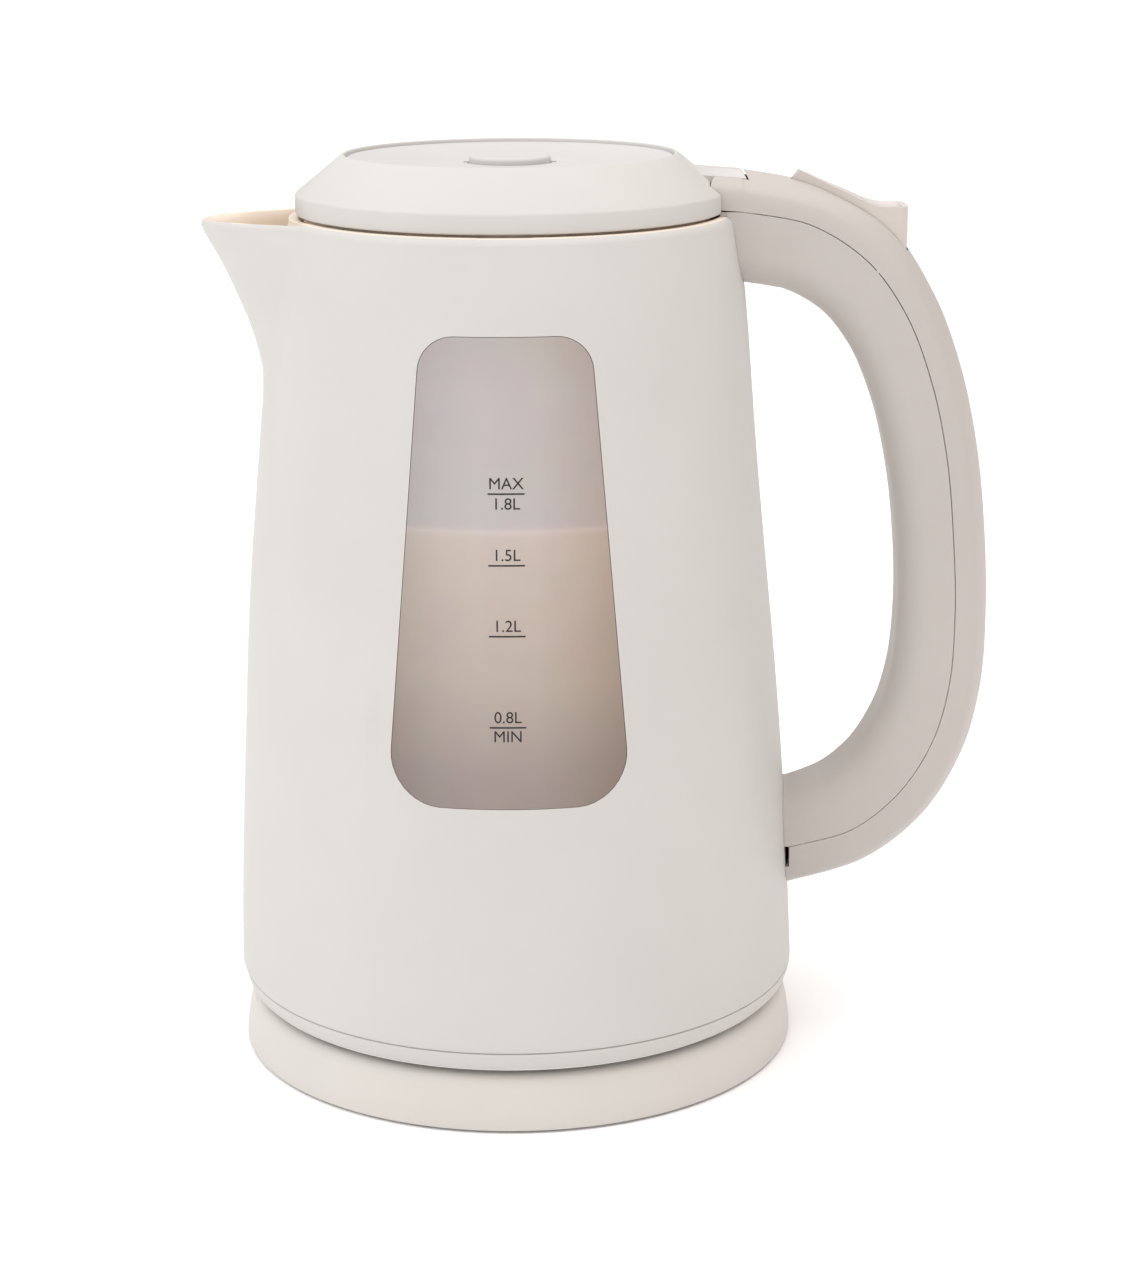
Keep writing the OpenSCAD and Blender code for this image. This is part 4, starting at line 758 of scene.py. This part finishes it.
def crown_bar():
    """A bar along X with the crown of the handle's first section, its top rising 1 mm towards the lid."""
    around = both_sides(crown_line(10.95))
    points = [(x, w, handle_top_z - a + up)
              for x, up in ((51.3, 1.0), (65.0, 0), (68.0, 0)) for a, w in around]
    return piece("cutter", points, tube_faces(3, len(around)), None)


# The rear tab: the part of that bar over the hinge, its end rounded about the hinge's axis
tab_in, tab_out, tab_y, tab_r = 50, 68, ear_y - 0.1, 6.2
tab = carve(crown_bar(), [block((tab_in, -tab_y, hinge_z + 1.6), (tab_out, tab_y, lid_top_z))], "INTERSECT")
tab_end = drum((hinge_x, -tab_y - 1, hinge_z), (0, 1, 0), tab_r, 2 * tab_y + 2, 96)
carve(tab_end, [block((tab_in, -tab_y - 1, 250), (hinge_x, tab_y + 1, lid_top_z))], "UNION")
carve(tab, [tab_end], "INTERSECT")
carve(lid, [drum((hinge_x, -tab_y, hinge_z), (0, 1, 0), knuckle_r, 2 * tab_y, 64), tab,
            block((hinge_x - 9, -tab_y, hinge_z - 2.5), (hinge_x, tab_y, hinge_z + 0.5)),
            block((hinge_x - 9, -tab_y, hinge_z - 1), (hinge_x - 2, tab_y, hinge_z + 2.6))], "UNION")
post_r, post_z, post_h = 3.75, 235.52, 20.5
post_ring_r = dish_r - 0.5
posts = []
for a in np.radians((45, 135, 225, 315)):
    foot = (post_ring_r * math.cos(a), post_ring_r * math.sin(a), post_z)
    posts.append(drum(foot, (0, 0, 1), post_r, post_h, 32))
carve(lid, posts, "UNION")
bolt_half, bolt_in, bolt_out, bolt_top_z = 6.3, 54, 59.3, 244.65
carve(lid, [drum((hinge_x, -ear_y - 1, hinge_z), (0, 1, 0), hinge_pin_r + 0.05, 2 * ear_y + 2),
            drum((hinge_x, -spring_half, hinge_z), (0, 1, 0), spring_r, 2 * spring_half),
            block((-bolt_half, bolt_in, 240), (bolt_half, bolt_out, bolt_top_z)),
            block((-bolt_half, -bolt_out, 240), (bolt_half, -bolt_in, bolt_top_z))])
# Everything below the lid's lower edge takes the tan as painted warm shade for the gap round the lid
lid.data.materials.append(tan)
for face in lid.data.polygons:
    face.material_index = int(face.center.z / MM < lid_z + 0.05)
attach(lid, "lid")
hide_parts("lid_shell")


# ---- Hinge pin ----
# A turned and zinc-plated steel pin with chamfered ends, held in blind holes of the lugs on the handle's
# cover. The lid's knuckle turns on it, and its closing spring lies round it.
pin_half, pin_chamfer = 9.4, 0.3
pin_end = [(0.01, pin_half), (hinge_pin_r - pin_chamfer, pin_half), (hinge_pin_r, pin_half - pin_chamfer)]
pin = lathe("lid_hinge_pin", [(r, -z) for r, z in pin_end] + pin_end[::-1], zinc, 40)
pin_turn = Matrix.Rotation(math.radians(90), 4, "X")
pin.data.transform(Matrix.Translation((hinge_x * MM, 0, hinge_z * MM)) @ pin_turn)
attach(pin, "jug")
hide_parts("hinge_pin")


# ---- Lid dish ----
# A shallow bowl-shaped disc of smoother polypropylene that is snapped into the lid's top. It slopes up from
# the button's hole to its rim, and two small notches are cut into the edge of the hole.
dish_hole_r, tick_half = 11.95, 1.3
# Finely moulded polypropylene: a little cooler and glossier than the lid round it
dished = mottled("moulded_dish_polypropylene", "#c0bfbd", "#c4c3c0", 30, (0.38, 0.48), 0.2)
dish_profile = bow(dish_hole_r + 0.4, 258.9, 0.4, 180, 90, 3)
dish_profile += [(20, 259.1), (30, 259.35), (37, 259.8), (42, 260.35), (44.6, 260.8)]
dish_profile += bow(dish_r - 0.4, 260.6, 0.35, 100, 0, 4)
dish_profile += [(dish_r - 0.05, disc_z + 0.02), (dish_hole_r, disc_z + 0.02)]
disc = lathe("lid_dish", dish_profile, dished)
carve(disc, [block((11.5, -tick_half, 258.3), (13.1, tick_half, lid_top_z)),
             block((-13.1, -tick_half, 258.3), (-11.5, tick_half, lid_top_z))])
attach(disc, "lid")
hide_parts("lid_disc")


# ---- Push button ----
# The round button that opens the lid, a cap moulded in the same plastic as the dish. Two legs with cam pins
# on their outer sides reach down from it and draw the latch bolts in when it is pressed.
button_z, button_r, button_h = 261.2, 11.6, 8
cap_t, cap_wall, cap_round = 2.2, 2, 1.1
leg_in, leg_out, leg_half, leg_low_z = 5.1, 6.6, 8, 244.35
cam_r, cam_from, cam_length, cam_y, cam_z = 1.1, 6.2, 4.2, 6, 246.35
button_profile = [(0.01, button_z - cap_t), (button_r - cap_wall, button_z - cap_t)]
button_profile += [(button_r - cap_wall, button_z - button_h), (button_r, button_z - button_h)]
button_profile += bow(button_r - cap_round, button_z - cap_round, cap_round, 0, 90, 6)
button_profile += [(button_r * 0.6, button_z - 0.12), (0.01, button_z - 0.25)]
button = lathe("lid_push_button", button_profile, dished, 160)
legs = []
for s in (-1, 1):
    x0, x1 = sorted((s * leg_in, s * leg_out))
    legs.append(block((x0, -leg_half, leg_low_z), (x1, leg_half, button_z - 1)))
    for t in (-1, 1):
        legs.append(drum((s * cam_from, t * cam_y, cam_z), (s, 0, 0), cam_r, cam_length, 24))
carve(button, legs, "UNION")
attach(button, "button")
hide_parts("lid_button")


# ---- Handle ----
# A C-shaped handle in two cream polypropylene mouldings that meet along a seam on each side: a hollow grip
# towards the jug, screwed to its wall, and a domed cover outside. The grip's low ears fill the notch in the
# jug's rim, and lugs on the cover stand beside the lid's tab and hold its hinge pin.

# Each moulding is a section that is swept along these stations from the hinge down. A station gives its
# shares of the reach and of the height, and its whole depth and seam depth as shares of the handle's depth
stations = np.array([
    (0.005, 1.000, 1.000, 0.345), (0.315, 0.977, 0.970, 0.325), (0.577, 0.920, 0.940, 0.325),
    (0.756, 0.837, 0.905, 0.325), (0.872, 0.736, 0.870, 0.325), (0.944, 0.628, 0.855, 0.330),
    (0.983, 0.517, 0.848, 0.340), (1.000, 0.407, 0.858, 0.342), (0.989, 0.296, 0.897, 0.355),
    (0.921, 0.196, 0.942, 0.380), (0.772, 0.105, 0.974, 0.415), (0.537, 0.038, 0.984, 0.434),
    (0.228, 0.004, 0.994, 0.473)])
last_station = len(stations) - 1
handle_x, handle_reach, handle_h, handle_depth = 64.0, 74.38, 212.7, 31.0
handle_low_z = handle_top_z - handle_h
handle_wall, cover_front, cover_wall = 2.5, 64.8, 4.1
grip_round = 9
seam_gap_half = 0.1
cradle_start, cradle_length = 0.75, 2.3
into_jug = 3.5
jug_gap = 0.05
sharp_angle = 30
# The jug's satin cream again, painted a little darker and warmer as painted shade where the handle turns away
# from the light
handle_cream_painted_shade = mottled("cream_polypropylene_painted_handle_shade", "#b7b1ac", "#bab4af", 35, (0.46, 0.56), 0.25,
                       Specular_IOR_Level=0.35)


def along(s):
    """A station between those of the table, on a smooth curve through them."""
    k = min(int(s), last_station - 1)
    near = (stations[i] for i in (max(k - 1, 0), k, k + 1, min(k + 2, last_station)))
    return between(*near, s - k)


def cradle(s):
    """How far the handle's back is filled out beside the paddle, 0 to 1."""
    return 0.5 - 0.5 * math.cos(2 * math.pi * np.clip((s - cradle_start) / cradle_length, 0, 1))


def outer_point(s):
    """The handle's outer line, (x, z)."""
    p = along(s)
    return np.array((handle_x - handle_reach * stations[0][0] + handle_reach * p[0],
                     handle_low_z + handle_h * p[1]))


def inward(s):
    """Direction from the outer line into the handle, straight down or up at its ends."""
    d = outer_point(min(s + 0.1, last_station)) - outer_point(max(s - 0.1, 0))
    ease = min(1, s, last_station - s)
    ease = ease * ease * (3 - 2 * ease)
    n = np.array((d[1], -d[0])) / np.hypot(*d) * ease + np.array((0, -1 if s < 2 else 1)) * (1 - ease)
    return n / np.hypot(*n)


def sweep(name, section, inner):
    """A section carried along the handle and on into the jug; its first sides, inside it, take the tan as
    painted warm shade.

    The section takes the depth of the seam, the whole depth and how far the back is filled out.
    """
    rings = []
    for s in np.linspace(0, last_station, 121):
        p, o, n = along(s), outer_point(s), inward(s)
        around = both_sides(section(handle_depth * p[3], handle_depth * p[2], cradle(s)))
        rings.append([(o[0] + n[0] * a, w, o[1] + n[1] * a) for a, w in around])
    first, last = ([(x - into_jug, y, z) for x, y, z in ring] for ring in (rings[0], rings[-1]))
    rings = [first] + rings + [last]
    n = len(first)
    points = [p for ring in rings for p in ring]
    obj = piece(name, points, tube_faces(len(rings), n), handle_cream_painted_shade, sharp_angle)
    obj.data.materials.append(tan)
    for k in range((len(rings) - 1) * n):
        obj.data.polygons[k].material_index = int(k % n < inner or k % n >= n - 1 - inner)
    return obj


def jug_solid():
    """The jug's outer form with a thin gap round it, to trim what stands against it."""
    skin_top_z = rim_z - rim_round
    profile = [(0.01, 40)] + [(skin_r(z) + jug_gap, z) for z in np.linspace(40, skin_top_z, 60)]
    profile += [(skin_r(skin_top_z) + jug_gap - rim_round + r, skin_top_z + z)
                for r, z in bow(0, 0, rim_round, 10, 90, 6)]
    return lathe("cutter", profile + [(0.01, rim_z)], None, 360)


def grip_half(seam, depth, flat):
    """Half of the grip's section as (depth, width), from its hollow round the seam to the inner face."""
    turn = [math.radians(a) for a in range(0, 91, 9)]
    corner = [(depth - grip_round + grip_round * math.sin(a), half_w - grip_round + grip_round * math.cos(a))
              for a in turn]
    edge = seam + seam_gap_half
    inside_w = half_w - handle_wall
    return [(depth - 3, inside_w - 3), (depth - 6, inside_w), (edge, inside_w),
            (edge, half_w - seam_edge), (edge + seam_edge, half_w)] + corner + [(depth, 2.0)]


def cover_half(seam, depth, flat):
    """Half of the cover's section as (depth, width), from its hollow round the seam to the crown."""
    edge = seam - seam_gap_half
    return [(handle_wall, 1.2), (crown + 1.2, half_w - 5.3), (crown + 2.5, half_w - cover_wall),
            (edge, half_w - cover_wall), (edge, half_w - seam_edge)] + crown_line(seam, flat)


lid_room_r = 61.2
front_wall_half, front_wall_z, front_wall_out = 12.5, 231.2, 68.7
low_boss_from, low_boss_r, low_boss_length = (72.2, 0, 63.3), 3.6, 16
ear_top_z, ear_out, ear_web_in, ear_web_out = 246.4, 65, 64.1, 67.7
grip = sweep("handle_grip_moulding", grip_half, 3)
carve(grip, [jug_solid(), drum((0, 0, rim_z - 0.2), (0, 0, 1), lid_room_r, 20, 240)], sharp=sharp_angle)
front_wall = block((61, -front_wall_half, front_wall_z), (front_wall_out, front_wall_half, ear_top_z))
low_boss = drum(low_boss_from, (1, 0, 0), low_boss_r, low_boss_length)
carve(front_wall, [jug_solid()])
carve(low_boss, [jug_solid()])
ears = []
for s in (-1, 1):
    y0, y1 = sorted((s * ear_y, s * ear_end))
    ears.append(block((hinge_x - 2, y0, rim_z - notch_h + jug_gap), (ear_out, y1, ear_top_z)))
    ears.append(block((ear_web_in, y0, rim_z - 6), (ear_web_out, y1, ear_top_z)))
carve(grip, [front_wall, low_boss] + ears, "UNION", sharp_angle)
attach(grip, "jug")
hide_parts("handle_grip")

cover = sweep("handle_cover_moulding", cover_half, 4)
# The opening for the thumb paddle, narrow at the hinge and wide at the rear, as (x, half width)
paddle_front, paddle_rear, paddle_gap = 79.3, 111.8, 0.25
width_line = [(78, 2.3), (82, 2.8), (86, 3.7), (90, 4.9), (94, 6.3), (98, 7.6), (102, 8.4), (106, 8.6),
              (112, 8.6)]


def paddle_plan(gap, low, high, corner=3.5):
    """The paddle's outline seen from above, widened by a gap and carried between two heights."""
    end = paddle_rear + gap - corner
    x = np.unique(np.concatenate([np.linspace(paddle_front - gap, paddle_rear - corner, 24),
                                  end + corner * np.sin(np.linspace(0, np.pi / 2, 12))]))
    round_off = np.clip((x - end) / corner, 0, 1)
    y = hermite(width_line, x) + gap - corner * (1 - np.sqrt(1 - round_off ** 2))
    return slab(list(zip(x, y)) + list(zip(x[::-1], -y[::-1])), low, high)


lug_r, lug_end_x, tab_gap = 4.7, 66, 0.12
pin_hole_half = pin_half + 0.1
past_handle_y = 20
# The slot at the cover's lower end, where it stands off the jug
foot_slot_x, foot_slot_low, foot_slot_high = 80.7, handle_low_z + 9.3, handle_low_z + 17
carve(cover, [jug_solid(),
              block((0, -past_handle_y, 240), (cover_front, past_handle_y, lid_top_z)),
              block((0, -past_handle_y, foot_slot_low), (foot_slot_x, past_handle_y, foot_slot_high)),
              drum((hinge_x, -tab_y - tab_gap, hinge_z), (0, 1, 0), tab_r + 0.5, 2 * (tab_y + tab_gap), 96),
              paddle_plan(paddle_gap, 230, lid_top_z)], sharp=sharp_angle)
lugs = drum((hinge_x, -half_w - 1, hinge_z), (0, 1, 0), lug_r, 2 * half_w + 2, 96)
carve(lugs, [block((hinge_x - 2, -half_w - 1, 246), (lug_end_x, half_w + 1, hinge_z)),
             block((hinge_x, -half_w - 1, 246), (lug_end_x, half_w + 1, lid_top_z))], "UNION")
lug_reach = block((54, -past_handle_y, 240), (cover_front + 0.2, past_handle_y, lid_top_z))
carve(lugs, [crown_bar(), lug_reach], "INTERSECT")
carve(lugs, [block((tab_in, -tab_y - tab_gap, 240), (lug_end_x, tab_y + tab_gap, lid_top_z)),
             drum((hinge_x, -pin_hole_half, hinge_z), (0, 1, 0), hinge_pin_r + 0.02, 2 * pin_hole_half)])
carve(cover, [lugs], "UNION", sharp_angle)
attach(cover, "jug")
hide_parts("handle_cover")


# ---- Thumb paddle ----
# The rocking power switch, a hollow cream moulding that tapers towards the hinge and rocks on two stub axles.
# A tongue under these reaches down to the trip lever, and its top is hollowed out for the inlay.
pivot_x, pivot_z, pivot_r, pivot_half = 88.0, 244.6, 1.5, 11.2
paddle_half, hollow_half = 12, 7.4
tongue_low, tongue_high = (86.8, -1.5, 238.3), (89.2, 1.5, 242.6)
inlay_front, inlay_rear, inlay_edge, inlay_rows = 83.5, 110.1, 0.75, 54
inlay_depth, inlay_t, inlay_bed = 0.85, 0.6, 0.02
top_line = [(81.3, 256.8), (84.5, 255.35), (89.7, 252.95), (94.6, 250.85), (99, 248.75), (102, 247.6),
            (105.7, 246.95), (111.8, 247.0)]
under_line = [(111.8, 240.2), (111.5, 234.8), (109.2, 234.2), (105.2, 238), (100.2, 241), (91, 241.6),
              (85, 241.6), (83.5, 246.6), (paddle_front, 250.5), (paddle_front, 254.1)]
hollow_line = [(83, 249), (85, 241.5), (100.2, 244), (110.2, 239.6), (110.6, 230), (83, 230)]
paddle = prism(smooth_run(top_line, 4) + under_line, -paddle_half, paddle_half)
paddle.name = "thumb_paddle"
# The handle's cream painted slightly paler, as painted light on a part that faces more of the light, and
# smoother
paddle.data.materials.append(mottled("cream_polypropylene_painted_paddle_light", "#c3bbb4", "#c6beb7", 20,
                                     (0.42, 0.52), 0.25))
carve(paddle, [paddle_plan(0, 225, lid_top_z)], "INTERSECT")
hollow = prism(hollow_line, -hollow_half, hollow_half)


def dish(name, drop, up, finish):
    """A shallow hollow along the paddle's top as a solid between two levels."""
    across_steps = 21
    bottom, top = [], []
    for x in np.linspace(inlay_front, inlay_rear, inlay_rows):
        edge = min(1, (x - inlay_front) / 4, (inlay_rear - x) / 1.6)
        width = hermite(width_line, x) - inlay_edge - 1.6 * max(0, (x - inlay_rear + 1.6) / 1.6) ** 2
        deep = inlay_depth * max(edge, 0) ** 0.5
        for v in np.linspace(-1, 1, across_steps):
            z = hermite(top_line, x) - deep * (1 - v * v)
            bottom.append((x, v * width, z - drop))
            top.append((x, v * width, z + up))
    n, m = inlay_rows, across_steps
    sheet = [(i * m + j, i * m + j + 1, (i + 1) * m + j + 1, (i + 1) * m + j)
             for i in range(n - 1) for j in range(m - 1)]
    faces = sheet + [tuple(n * m + q for q in quad[::-1]) for quad in sheet]
    ring = list(range(m)) + [i * m + m - 1 for i in range(1, n)]
    ring += [(n - 1) * m + j for j in range(m - 2, -1, -1)] + [i * m for i in range(n - 2, 0, -1)]
    faces += [(a, b, n * m + b, n * m + a) for a, b in zip(ring, ring[1:] + ring[:1])]
    return piece(name, bottom + top, faces, finish)


carve(paddle, [hollow, dish("cutter", inlay_t + inlay_bed, 8, None)])
carve(paddle, [drum((pivot_x, -pivot_half, pivot_z), (0, 1, 0), pivot_r, 2 * pivot_half, 32),
               block(tongue_low, tongue_high)], "UNION")
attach(paddle, "paddle")
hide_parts("power_paddle")


# ---- Paddle inlay ----
# A thin insert of smooth translucent plastic that is snapped into the hollow in the paddle's top. The pilot
# lamp inside the handle lies below it.
# Smooth moulded plastic: cooler and glossier than the paddle, so that it catches a soft highlight
pale_inlay = mottled("moulded_pale_inlay", "#c2bab8", "#cac2c0", 8, (0.2, 0.28))
inlay = dish("paddle_inlay", inlay_t, 0, pale_inlay)
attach(inlay, "paddle")
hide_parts("paddle_lens")


# ---- Inner pieces ----
# The CAD solids that aren't dressed above, in the real finish of each: pressed, stamped and plated metal,
# rubber and engineering plastics. They show when the lid is open, the jug is lifted or the kettle is taken
# apart. Each name says what the piece is made of and how.
finishes = {
    "stainless": mottled("brushed_stainless_steel", "#b9b6b1", "#c9c6c1", 6, (0.22, 0.36), Metallic=1.0),
    "aluminium": mottled("pressed_aluminium", "#bfc0c0", "#cfd0d0", 8, (0.35, 0.5), Metallic=1.0),
    "screw_steel": zinc,
    "brass": mottled("stamped_brass", "#b9954e", "#caa761", 3, (0.25, 0.4), Metallic=1.0),
    "silicone": mottled("moulded_silicone_rubber", "#c9c6c0", "#d2cfc9", 6, (0.6, 0.75), 0.2),
    "black_plastic": mottled("glass_filled_black_nylon", "#1d1d1e", "#262627", 3, (0.45, 0.6), 0.3),
    "white_plastic": mottled("moulded_white_acetal", "#dedcd6", "#e6e4de", 8, (0.35, 0.5), 0.2),
    "tan_plastic": mottled("moulded_tan_polypropylene", "#d6c8b8", "#dccebf", 12, (0.45, 0.6), 0.25),
    "lamp_amber": mottled("tinted_amber_lens", "#b76a1c", "#c87a26", 3, (0.15, 0.25)),
    "wire_red": mottled("red_silicone_sleeving", "#8e2a22", "#a1352b", 3, (0.5, 0.65)),
    "clear_lens": pale_inlay,
    "cream_plastic": cream,
    "lid_dish_plastic": dished,
    "frosted_gauge": frosted,
}
for entry in frame["record"]["subparts"]:
    mesh = frame["nodes"][entry["node"]].data
    mesh.materials.clear()
    mesh.materials.append(finishes[entry["material_slot"]])
